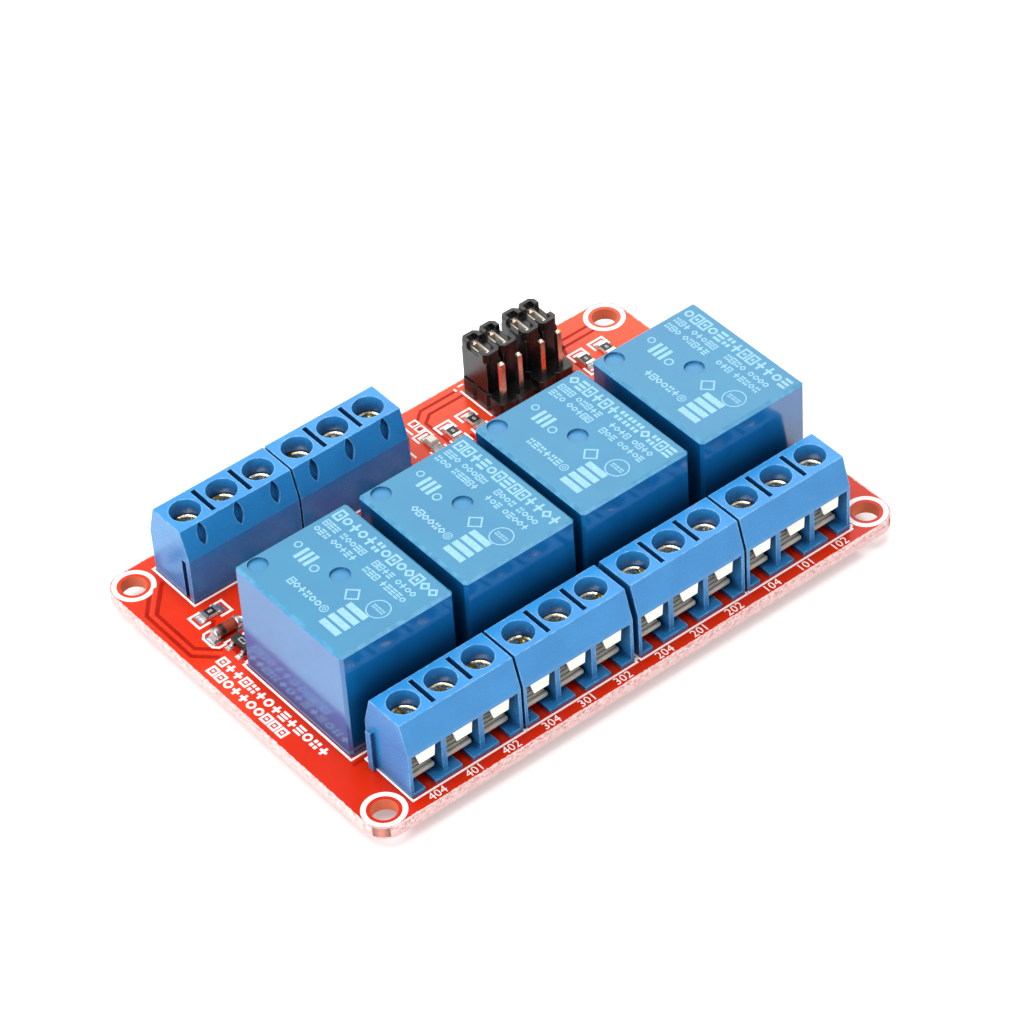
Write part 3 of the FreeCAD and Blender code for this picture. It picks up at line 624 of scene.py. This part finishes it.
# clamp screws, with a combined slot and cross recess
def clampScrews():
    look = dict(headRadius=1.7, headHeight=2.25, crown=0.4, rimDrop=0.22, slotHalf=0.26, crossHalf=0.24,
                crossReach=1.02, recess=0.7, below=0.2, wall=0.09, rimFade=0.55, dark=0.25, threadRadius=1.3,
                tipRadius=1.1, tip=0.2, rings=15, sides=72)
    low, high = spanOf("terminal_screws")
    head, thread = look["headRadius"], look["threadRadius"]
    under = high.z - look["headHeight"]
    mesh = bmesh.new()
    for x, y in placesOf("terminal_screws"):
        screwHead(mesh, x, y, high.z, random.uniform(0, math.pi), look)
        lathe(mesh, x, y, [(head, high.z - look["rimDrop"]), (head, under), (thread, under),
                           (thread, low.z + look["tip"]), (look["tipRadius"], low.z), (0, low.z)], 36)
    screws = finishPiece("clampScrews", mesh, ["screw", "recess"], smooth=50)
    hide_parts("terminal_screws")


def screwHead(mesh, x, y, top, turn, look):
    cosine, sine = math.cos(turn), math.sin(turn)

    def soft(value, edge):  # 1 inside the edge, 0 outside, with a steep wall between
        return min(1.0, max(0.0, (edge - value) / look["wall"] + 0.5))

    rings = []
    for ring in range(look["rings"] + 1):
        share = ring / look["rings"]
        row = []
        for a, b in circle(0, 0, look["headRadius"] * share, look["sides"] if ring else 1):
            along, across = a * cosine + b * sine, -a * sine + b * cosine
            slot = soft(abs(across), look["slotHalf"])
            cross = soft(abs(along), look["crossHalf"]) * soft(abs(across), look["crossReach"])
            fade = look["rimFade"] if share > 0.97 else 1.0
            drop = look["crown"] * share ** 2 + look["recess"] * max(slot, cross) * fade
            row.append(mesh.verts.new((x + a, y + b, top - min(drop, look["recess"] + look["below"]))))
        rings.append(row)
    for ring, (inner, outer) in enumerate(zip(rings, rings[1:])):
        crown = look["crown"] * ((ring + 0.5) / look["rings"]) ** 2
        for side in range(look["sides"]):
            after = (side + 1) % look["sides"]
            around = [inner[side % len(inner)], inner[after % len(inner)], outer[after], outer[side]]
            face = mesh.faces.new(list(dict.fromkeys(around)))
            sunk = top - sum(corner.co.z for corner in around) / 4 - crown
            face.material_index = 1 if sunk > look["dark"] else 0  # painted shade: the walls and floor of the recess take the darker finish


clampScrews()
print("screws cut")


# tracks, gaps, print and pads on the component side
def boardTracks():
    look = dict(lift=0.03, sunk=0.02, gapLift=0.006, gapWidth=0.5, fineGap=0.4, apart=1.15)
    mesh = bmesh.new()
    bottom, top = boardTop - look["sunk"], boardTop + look["lift"]

    def gap(points, width=look["gapWidth"]):
        ribbon(mesh, points, width, bottom, boardTop + look["gapLift"], finish=1)

    def track(points, width):
        ribbon(mesh, points, width, bottom, top)
        for x, y in (points[0], points[-1]):
            dot(mesh, x, y, width / 2, bottom, top - 0.004)

    # the pair of lines that leaves the rear block and runs down the left edge
    gap([(-31.9, 21.6), (-35.5, 17.6), (-35.5, 10.4), (-33.2, 8.1)])
    gap([(-33.9, 21.2), (-36.45, 18.2), (-36.45, 9.6), (-34.2, 7.3)])
    track([(-33.2, 21.1), (-35.98, 17.95), (-35.98, 10.0), (-33.7, 7.7)], 0.5)
    # bent tracks beside the headers
    for shift in (0.0, look["apart"]):
        gap([(6.9 - shift, 16.3), (6.9 - shift, 22.6 + shift * 0.4), (8.2 - shift * 0.4, 23.6 + shift),
             (13.3, 23.6 + shift)], look["fineGap"])
        gap([(25.6 + shift, 16.3), (25.6 + shift, 20.6), (27.2 + shift * 0.6, 22.2 + shift),
             (32.3, 22.2 + shift)], look["fineGap"])
    for x in (9.6, 12.9):
        gap([(x, 16.4), (x, 17.6)])
    # supply rail along the rear edge, the feeds to each channel, and the gap before its contacts
    track([(-16.0, 15.2), (13.0, 15.2), (14.2, 16.4)], 0.8)
    for relay in relays:
        x, left = relay["x"], relay["left"]
        gap([(x - 7.2, 5.0), (x - 7.2, 11.6), (x - 6.2, 12.6)])
        gap([(x - 2.0, 4.8), (x - 2.0, 12.8), (x + 3.5, 12.8)])
        gap([(x + 6.8, 5.2), (x + 6.8, 11.4)])
        gap([(left - 0.6, -15.8), (left + 5.0, -15.8)], look["fineGap"])
    finishPiece("boardTracks", mesh, ["track", "gap"])


def boardPrint():
    look = dict(line=0.26, bold=0.3, fine=0.22, thick=0.018, sunk=0.01, ringInner=1.98, ringOuter=2.58,
                blockHalf=7.78, blockBack=-15.9, blockGap=0.34, rearLeft=-31.45, rearRight=-0.05,
                rearFront=15.87, rearGap=0.35, relayGap=0.25, headerHalf=2.75, headerFront=16.35,
                headerSides=(18.4, 24.35), figure=1.12, rearFigure=1.1,
                marks=("bars", "window", "blocks", "ring", "plus"))
    low, high = boardTop - look["sunk"], boardTop + look["thick"]
    mesh = bmesh.new()

    def line(points, width=look["line"], closed=False):
        ribbon(mesh, points, width, low, high, closed)

    def frameLine(left, front, right, back, width=look["line"]):
        line([(left, front), (right, front), (right, back), (left, back)], width, closed=True)

    for a, b in corners:
        hoop(mesh, a * holeX, b * holeY, look["ringInner"], look["ringOuter"], low, high)
    # one outline round each front block, and one round the rear pair
    frontLine = min(block["wireY"] for block in blocks) - look["blockGap"]
    for block in blocks[:4]:
        right = block["x"] + look["blockHalf"]
        frameLine(block["x"] - look["blockHalf"], frontLine, right, look["blockBack"])
        dot(mesh, right + 0.24, frontLine + 0.5, 0.24, low, high, sides=12)
    rearLine = max(block["wireY"] for block in blocks) + look["rearGap"]
    frameLine(look["rearLeft"], look["rearFront"], look["rearRight"], rearLine)
    out = look["relayGap"]
    for relay in relays:
        frameLine(relay["left"] - out, relay["front"] - out, relay["right"] + out, relay["back"] + out)
    # header outlines, open at the corners
    half, front = look["headerHalf"], look["headerFront"]
    for x in headerX:
        for side in (-half, half):
            line([(x + side, y) for y in look["headerSides"]])
        line([(x - half, front), (x + half, front)])
    line([(13.7, 25.15), (14.5, 25.15)])
    line([(13.1, 24.6), (13.1, 25.15)])
    # brackets round the chip parts
    for x, y, upright in resistorPlaces:
        chipBracket(line, x, y, upright)
    lampX, lampY = max(lampPlaces, key=lambda place: place[1])  # the power lamp stands beside the headers
    for side in (-1, 1):
        near, far = lampY + side, lampY + side * 2.3
        line([(lampX - 1.05, near), (lampX - 1.05, far), (lampX + 1.05, far), (lampX + 1.05, near)])
    for x, y in placesOf("diodes"):
        for side in (-1, 1):
            line([(x + side * a, y + b) for a, b in ((1.1, -1.45), (2.1, -1.45), (2.6, -0.9), (2.6, 0.9),
                                                     (2.1, 1.45), (1.1, 1.45))], look["bold"])
    for x, y in placesOf("transistors"):
        for away in (1.9, -2.1):
            line([(x + 0.2, y + away), (x - 1.3, y + away)])
    for x, y in placesOf("optocouplers"):
        for away in (-2.65, 2.65):
            line([(x - 3.0, y + away), (x + 3.0, y + away)])
        dot(mesh, x - 4.2, y + 2.5, 0.22, low, high)
    # plain stand-ins for lettering: rows of small marks down the left edge and figures at the terminals
    chooser = random.Random(3)
    for x, start, count in ((-34.35, 7.2, 14), (-36.0, 6.8, 10)):
        markRow(mesh, x, start, count, 1.42, 1.3, low, high, chooser, look["marks"])
    for number, block in enumerate(blocks[:4]):
        for step, pole in zip(poleSteps, (4, 1, 2)):
            numeral(mesh, "%d0%d" % (4 - number, pole), block["x"] + step * polePitch, frontLine - 0.85,
                    look["figure"], 0, low, high)
    rearPoles = sorted(block["x"] + step * polePitch for block in blocks[4:] for step in poleSteps)
    for number, x in enumerate(rearPoles):
        numeral(mesh, str(number + 1), x, rearLine + 0.95, look["rearFigure"], math.pi, low, high)
    # two squares and two bars beside the headers
    for y in (22.3, 23.5):
        frameLine(5.3, y - 0.4, 6.3, y + 0.4, look["fine"])
    line([(4.5, 22.0), (4.5, 23.8)])
    line([(2.35, 18.6), (2.35, 20.0)])
    finishPiece("boardPrint", mesh, ["silk"])


def chipBracket(line, x, y, upright):
    look = dict(near=0.72, far=2.25, half=1.05, line=0.3)
    for sign in (-1, 1):
        near, far, half = sign * look["near"], sign * look["far"], look["half"]
        spots = [(near, -half), (far, -half), (far, half), (near, half)]
        line([(x + b, y + a) if upright else (x + a, y + b) for a, b in spots], look["line"])


def simpleMark(mesh, kind, x, y, wide, tall, low, high):
    # one small plain shape in a box: bars, window, blocks, ring, diamond, plus or wedge
    least = min(wide, tall)
    stroke = least * 0.23
    if kind == "bars":
        for step in (-1, 0, 1):
            slab(mesh, x + step * wide * 0.36, y, wide * 0.21, tall, low, high)
    elif kind == "window":
        outline = [(x + a * wide * 0.4, y + b * tall * 0.42) for a, b in corners]
        ribbon(mesh, outline, stroke, low, high, closed=True)
        slab(mesh, x, y, wide * 0.25, tall * 0.3, low, high)
    elif kind == "blocks":
        for a, b in corners:
            slab(mesh, x + a * wide * 0.26, y + b * tall * 0.27, wide * 0.34, tall * 0.36, low, high)
    elif kind == "ring":
        hoop(mesh, x, y, least * 0.26, least * 0.5, low, high, sides=16)
    elif kind == "diamond":
        ribbon(mesh, circle(x, y, least * 0.46, 4), stroke, low, high, closed=True)
    elif kind == "plus":
        a, b, c = wide * 0.45, tall * 0.45, stroke * 0.6
        half = [(-a, -c), (-c, -c), (-c, -b), (c, -b), (c, -c), (a, -c)]
        prism(mesh, [(x + side * u, y + side * v) for side in (1, -1) for u, v in half], low, high)
    else:
        outline = [(x + a * wide * 0.42, y + b * tall * 0.42) for a, b in ((-1, -1), (1, -1), (0, 1))]
        prism(mesh, outline, low, high)


def markRow(mesh, x, start, count, pitch, tall, low, high, chooser, kinds):
    # plain shapes one after another, from start towards -Y
    for place in range(count):
        y = start - (place + 0.5) * pitch
        simpleMark(mesh, chooser.choice(kinds), x, y, tall, pitch * 0.84, low, high)


boardTracks()
boardPrint()
print("tracks and print laid")


# chip parts with their pads and solder
def solderPad(pads, x, y, wide, deep, turn=0.0):
    slab(pads, x, y, wide, deep, boardTop - 0.01, boardTop + 0.035, turn=turn)


def filletSlope(pads, x, y, alongX, alongY, wide, tall, run):
    # solder that climbs a chip's end in a hollow ramp and widens towards its foot
    look = dict(steps=5, hollow=2.2, widen=0.12, lift=0.03, sunk=0.02)
    base = boardTop + look["lift"]
    rows = []
    for step in range(look["steps"] + 1):
        share = step / look["steps"]
        height = base + tall * (1 - share) ** look["hollow"]
        half = wide / 2 * (1 + look["widen"] * share)
        spotX, spotY = x + alongX * run * share, y + alongY * run * share
        rows.append([pads.verts.new((spotX - alongY * side * half, spotY + alongX * side * half, z))
                     for z in (height, base - look["sunk"]) for side in (-1, 1)])
    for near, far in zip(rows, rows[1:]):
        for first, second in ((0, 1), (2, 0), (1, 3)):  # the ramp and its two sides
            pads.faces.new((near[first], near[second], far[second], far[first]))
    for row in (rows[0], rows[-1]):
        pads.faces.new([row[place] for place in (0, 2, 3, 1)])


def gullLead(mesh, x, y, side, wide, height, run, thick):
    # a flat lead that leaves the body, drops and lies on its pad
    line = [(0.0, height), (run * 0.35, height), (run * 0.5, height * 0.8), (run * 0.62, thick * 1.4),
            (run * 0.75, thick), (run * 1.15, thick)]
    closedSkin(mesh, [[mesh.verts.new((x + side * out, y + a * wide / 2, boardTop + up + b * thick / 2))
                       for a, b in corners] for out, up in line], finish=1)


def barrel(mesh, x, y, z, radius, start, end, rounding, finish):  # a lying cylinder along X with soft ends
    spots = [(start, radius - rounding), (start + rounding, radius),
             (end - rounding, radius), (end, radius - rounding)]
    closedSkin(mesh, [[mesh.verts.new((x + along, a, b)) for a, b in circle(y, z, size, 32)]
                      for along, size in spots], finish)


def chipResistors():
    look = dict(length=2.0, width=1.25, body=0.5, cap=0.56, end=0.4, pad=1.15, padWide=1.35, foot=0.03)
    mesh, pads = bmesh.new(), bmesh.new()
    length, width = look["length"], look["width"]
    bottom = boardTop + look["foot"]
    top = bottom + look["body"]
    for x, y, upright in resistorPlaces:
        turn = math.pi / 2 if upright else 0.0
        slab(mesh, x, y, length - 0.1, width - 0.06, bottom, top - 0.06, 1, turn)
        slab(mesh, x, y, length - 0.75, width - 0.12, top - 0.07, top + 0.02, 0, turn)
        slab(mesh, x, y, 0.5, 0.32, top, top + 0.03, 3, turn)  # a plain bar with a dark heart
        slab(mesh, x, y, 0.3, 0.14, top, top + 0.034, 0, turn)
        for alongX, alongY in ((0, 1), (0, -1)) if upright else ((1, 0), (-1, 0)):
            (capX, capY), (tipX, tipY), (padX, padY) = (
                (x + alongX * out, y + alongY * out) for out in
                ((length - look["end"]) / 2, length / 2 - 0.02, length / 2 + 0.2))
            slab(mesh, capX, capY, look["end"], width, bottom, bottom + look["cap"], 2, turn)
            filletSlope(pads, tipX, tipY, alongX, alongY, width, 0.34, 0.72)
            solderPad(pads, padX, padY, look["pad"], look["padWide"], turn)
    chips = finishPiece("chipResistors", mesh, ["chip", "ceramic", "solder", "chipInk"], 0.03)
    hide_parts("resistors")
    finishPiece("resistorPads", pads, ["solder"])


def transistorParts():
    look = dict(levels=((0.42, 1.22, 0.1), (0.65, 1.45, 0.5), (0.6, 1.4, 1.0)), apart=0.95,
                lead=(0.42, 0.5, 0.65, 0.12))  # its width, height, run and thickness
    mesh, pads = bmesh.new(), bmesh.new()
    for x, y in placesOf("transistors"):
        stack(mesh, x, y, look["levels"])
        slab(mesh, x, y, 0.55, 1.1, boardTop + 0.98, boardTop + 1.012, 2)
        slab(mesh, x, y, 0.38, 0.9, boardTop + 0.99, boardTop + 1.016)
        for side, shift in ((-1, -look["apart"]), (-1, look["apart"]), (1, 0)):
            gullLead(mesh, x + side * 0.55, y + shift, side, *look["lead"])
            solderPad(pads, x + side * 1.2, y + shift, 0.95, 0.75)
            filletSlope(pads, x + side * 1.18, y + shift, side, 0, 0.5, 0.16, 0.36)
    piece = finishPiece("transistorParts", mesh, ["chip", "solder", "chipInk"], 0.03)
    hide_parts("transistors")
    finishPiece("transistorPads", pads, ["solder"])


def glassDiodes():
    look = dict(capRadius=0.75, glassRadius=0.7, bandRadius=0.715, end=1.75, inner=1.2)
    end, inner = look["end"], look["inner"]
    mesh, pads = bmesh.new(), bmesh.new()
    for x, y in placesOf("diodes"):
        z = boardTop + look["capRadius"]
        barrel(mesh, x, y, z, look["capRadius"], -end, -inner, 0.08, 2)
        barrel(mesh, x, y, z, look["capRadius"], inner, end, 0.08, 2)
        barrel(mesh, x, y, z, look["glassRadius"], -inner, inner, 0.03, 0)
        barrel(mesh, x, y, z, look["bandRadius"], -0.95, -0.4, 0.01, 1)
        for side in (-1, 1):
            solderPad(pads, x + side * end, y, 1.5, 1.7)
            filletSlope(pads, x + side * (end - 0.03), y, side, 0, 1.1, 0.7, 0.7)
    piece = finishPiece("glassDiodes", mesh, ["glass", "chip", "solder"])
    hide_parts("diodes")
    finishPiece("diodePads", pads, ["solder"])


def couplers():
    look = dict(levels=((3.0, 2.1, 0.3), (3.2, 2.3, 1.75), (3.2, 2.3, 1.95), (2.98, 2.08, 3.4)),
                dotRadius=0.36, lead=(1.0, 1.85, 1.3, 0.24))
    mesh, pads = bmesh.new(), bmesh.new()
    for x, y in placesOf("optocouplers"):
        stack(mesh, x, y, look["levels"])
        top = boardTop + look["levels"][-1][-1]
        dot(mesh, x - 2.3, y + 1.35, look["dotRadius"], top - 0.02, top + 0.02, finish=2)
        for row in range(2):
            slab(mesh, x + 0.3, y - 0.5 + row * 0.95, 2.8 - row * 0.8, 0.3, top - 0.01, top + 0.015, 2)
        for side in (-1, 1):
            for leadY in (y - headerPitch / 2, y + headerPitch / 2):
                gullLead(mesh, x + side * 3.1, leadY, side, *look["lead"])
                solderPad(pads, x + side * 4.35, leadY, 1.9, 1.5)
                filletSlope(pads, x + side * 4.55, leadY, side, 0, 1.0, 0.24, 0.5)
    piece = finishPiece("optocouplerParts", mesh, ["chip", "solder", "chipInk"], 0.06)
    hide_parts("optocouplers")
    finishPiece("couplerPads", pads, ["solder"])


def lamps():
    look = dict(base=(1.22, 1.96), cap=(1.25, 0.34),
                lens=((0.6, 0.66, 0.38), (0.58, 0.62, 0.75), (0.5, 0.52, 0.9)))
    mesh, pads = bmesh.new(), bmesh.new()
    for x, y in lampPlaces:
        slab(mesh, x, y, *look["base"], boardTop + 0.03, boardTop + 0.4, 1)
        stack(mesh, x, y, look["lens"])
        for side in (-1, 1):
            slab(mesh, x, y + side * 0.82, *look["cap"], boardTop + 0.02, boardTop + 0.43, 2)
            solderPad(pads, x, y + side * 1.25, 1.35, 1.25)
            filletSlope(pads, x, y + side * 0.98, 0, side, 1.2, 0.3, 0.75)
    piece = finishPiece("lampParts", mesh, ["lampClear", "ceramic", "solder"], 0.04)
    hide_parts("indicator_lamps")
    finishPiece("lampPads", pads, ["solder"])


chipResistors()
transistorParts()
glassDiodes()
couplers()
lamps()
print("chip parts made")


# solder side: where the feet come through, from a block's wire side and from a relay's front and middle
feet = dict(terminal=3.75, common=3.2, coil=3.9, contact=16.1, aside=6.05)


def pinPlaces():  # x, y and the radius of the joint
    look = dict(terminal=1.25, contact=1.3, coil=0.95, header=0.85)
    places = []
    for block in blocks:
        for step in poleSteps:
            places.append((block["x"] + step * polePitch, block["wireY"] + block["inward"] * feet["terminal"],
                           look["terminal"]))
    for relay in relays:
        x, front = relay["x"], relay["front"]
        places.append((x, front + feet["common"], look["contact"]))
        for side in (-1, 1):
            places.append((x + side * feet["aside"], front + feet["coil"], look["coil"]))
            places.append((x + side * feet["aside"], front + feet["contact"], look["contact"]))
    for x in headerX:
        for column in (-0.5, 0.5):
            for row in (-1, 0, 1):
                places.append((x + column * headerPitch, headerY + row * headerPitch, look["header"]))
    return places


def solderSide():
    look = dict(least=1.05, most=1.3, common=2.6, load=1.6, coil=0.7, control=0.7, down=0.035, sunk=0.01)
    joints = bmesh.new()
    for x, y, radius in pinPlaces():
        tall = random.uniform(look["least"], look["most"])
        lathe(joints, x, y, [(radius, 0.0), (radius * 0.93, -0.06), (radius * 0.62, -tall * 0.38),
                             (radius * 0.44, -tall * 0.72), (radius * 0.36, -tall), (0.0, -tall - 0.03)], 28)
    finishPiece("solderJoints", joints, ["solder"], smooth=60)
    tracks = bmesh.new()

    def track(points, width):
        ribbon(tracks, points, width, -look["down"], look["sunk"])

    for relay, block in zip(relays, blocks[:4]):
        x, front, pole = relay["x"], relay["front"], block["x"]
        foot = block["wireY"] + feet["terminal"]
        track([(pole, foot), (pole, foot + 2.6), (x, front + 1.6), (x, front + feet["common"])],
              look["common"])
        for side in (-1, 1):
            end, coil, outer = pole + side * polePitch, x + side * feet["aside"], x + side * 8.0
            inner = coil - side * 2.0
            track([(end, foot), (end + side * 0.5, foot + 3.0), (outer, front + 3.0), (outer, front + 14.5),
                   (coil, front + feet["contact"])], look["load"])
            track([(coil, front + feet["coil"]), (inner, front + 6.0), (inner, front + 19.0),
                   (coil - side, front + 21.0)], look["coil"])
    for step in range(6):
        x = -28.6 + step * 5.15
        end = min(x + 6 + step * 2, 30)
        track([(x, 19.9), (x, 15.4 - step * 0.35), (end, 9.4 - step * 0.2)], look["control"])
    finishPiece("solderSideTracks", tracks, ["track"])


solderSide()
print("solder side made")


# print on the relays: rows of plain marks and a few larger simple shapes
def relayPrint():
    look = dict(lift=0.012, sunk=0.01, kinds=("bars", "window", "blocks", "ring", "diamond", "plus"), rows=(
        # from the left side, from the rear edge, how many, pitch, height
        (13.5, 0.7, 13, 1.37, 1.75), (11.75, 0.9, 3, 0.84, 1.0), (11.75, 3.9, 5, 0.84, 1.0),
        (11.75, 9.7, 4, 0.84, 1.0), (11.75, 13.6, 4, 0.84, 1.0), (10.4, 0.9, 3, 0.84, 1.0),
        (10.4, 3.9, 5, 0.84, 1.0), (10.4, 9.7, 3, 0.84, 1.0), (10.4, 12.7, 5, 0.84, 1.0),
        (3.35, 5.6, 6, 0.94, 1.1)), hoops=(
        # from the left side, from the rear edge, inner and outer radius, sides
        (7.6, 15.9, 1.28, 1.42, 40), (3.3, 11.9, 0.42, 0.54, 32), (3.3, 11.9, 0.14, 0.24, 16),
        (7.3, 2.0, 0.34, 0.5, 20), (6.3, 6.2, 0.4, 0.58, 20)))
    mesh = bmesh.new()
    chooser = random.Random(21)
    for relay in relays:
        low, high = relay["top"] - look["sunk"], relay["top"] + look["lift"]
        left, back = relay["left"], relay["back"]
        for x, start, count, pitch, tall in look["rows"]:
            markRow(mesh, left + x, back - start, count, pitch, tall, low, high, chooser, look["kinds"])
        for x, y, inner, outer, sides in look["hoops"]:
            hoop(mesh, left + x, back - y, inner, outer, low, high, sides)
        for step in (-1, 0, 1):
            simpleMark(mesh, "blocks", left + 7.6, back - 15.9 + step * 0.66, 0.7, 0.55, low, high)
        for step in range(4):
            slab(mesh, left + 2.1 + step * 1.2, back - 14.6, 0.85, 3.1, low, high)
        for step in range(3):
            slab(mesh, left + 6.75, back - 3.3 - step * 0.85, 2.1, 0.5, low, high)
        ribbon(mesh, circle(left + 6.9, back - 12.2, 1.0, 4), 0.2, low, high, closed=True)
    finishPiece("relayPrint", mesh, ["relayInk"])


relayPrint()
print("relays printed")


# stage, light and camera
def stage():
    look = dict(size=6.0, colour=0.8, glow=0.3, mirrored=0.55, rough=0.22, gloss=0.8)
    data = bpy.data.meshes.new("tableTop")
    half = look["size"] / 2
    data.from_pydata([(a * half, b * half, cadBox[0].z) for a, b in corners], [], [(0, 1, 2, 3)])
    table = shownObject("tableTop", data)
    material, tree, shader = freshMaterial("paleTable")
    fill(shader, {"Base Color": (look["colour"],) * 3 + (1,), "Roughness": look["rough"],
                        "Specular IOR Level": look["gloss"]})
    # the camera and reflections see a little more white than the lamps give; the shadow stays
    path = tree.nodes.new("ShaderNodeLightPath").outputs
    glow = calc("MAXIMUM", times(path["Is Camera Ray"], look["glow"]),
                times(path["Is Glossy Ray"], look["mirrored"]))
    white = addNode(tree, "ShaderNodeEmission", Color=(1, 1, 1, 1), Strength=glow)
    total = tree.nodes.new("ShaderNodeAddShader")
    for place, source in enumerate((shader, white)):
        tree.links.new(source.outputs[0], total.inputs[place])
    tree.links.new(total.outputs[0], tree.nodes["Material Output"].inputs["Surface"])
    data.materials.append(material)


def lights():
    look = dict(room=0.5, rig=[
        dict(name="overhead", at=(-0.25, 0.1, 0.75), size=0.7, power=7.0),
        dict(name="rearSoft", at=(0.6, 0.58, 0.52), size=0.5, power=2.2),  # glare on the far half
        dict(name="leftSoft", at=(-0.8, -0.1, 0.35), size=0.6, power=3.2),
        dict(name="frontSoft", at=(0.3, -0.8, 0.5), size=0.5, power=2.4),
    ])
    for lamp in look["rig"]:  # each looks at the board's middle
        data = bpy.data.lights.new(lamp["name"], "AREA")
        data.size = lamp["size"]
        data.energy = lamp["power"]
        holder = shownObject(lamp["name"], data)
        holder.location = lamp["at"]
        holder.rotation_euler = (-Vector(lamp["at"])).to_track_quat("-Z", "Y").to_euler()
    world = bpy.data.worlds.new("room")
    bpy.context.scene.world = world
    world.use_nodes = True
    tree = world.node_tree
    path = tree.nodes.new("ShaderNodeLightPath").outputs
    seen = calc("MAXIMUM", path["Is Camera Ray"], path["Is Transmission Ray"])
    fill(tree.nodes["Background"], {"Color": (1, 1, 1, 1), "Strength": spread(seen, 0.0, 1.0, look["room"])})


def camera():
    shot = dict(at=(-205.36, -283.84, 330.67), aim=(4.788, 3.910, 1.6), roll=-4.18, lens=149.01)
    data = bpy.data.cameras.new("camera")
    data.lens = shot["lens"]
    data.sensor_width = 36
    data.clip_start = 0.01
    data.clip_end = 20
    holder = shownObject("camera", data)
    spot, aim = Vector(shot["at"]) * mm, Vector(shot["aim"]) * mm
    roll = Quaternion((0, 0, 1), math.radians(shot["roll"]))
    holder.rotation_mode = "QUATERNION"
    holder.location = spot
    holder.rotation_quaternion = (aim - spot).to_track_quat("-Z", "Y") @ roll
    bpy.context.scene.camera = holder


stage()
lights()
camera()
bpy.context.scene.view_settings.view_transform = "Standard"
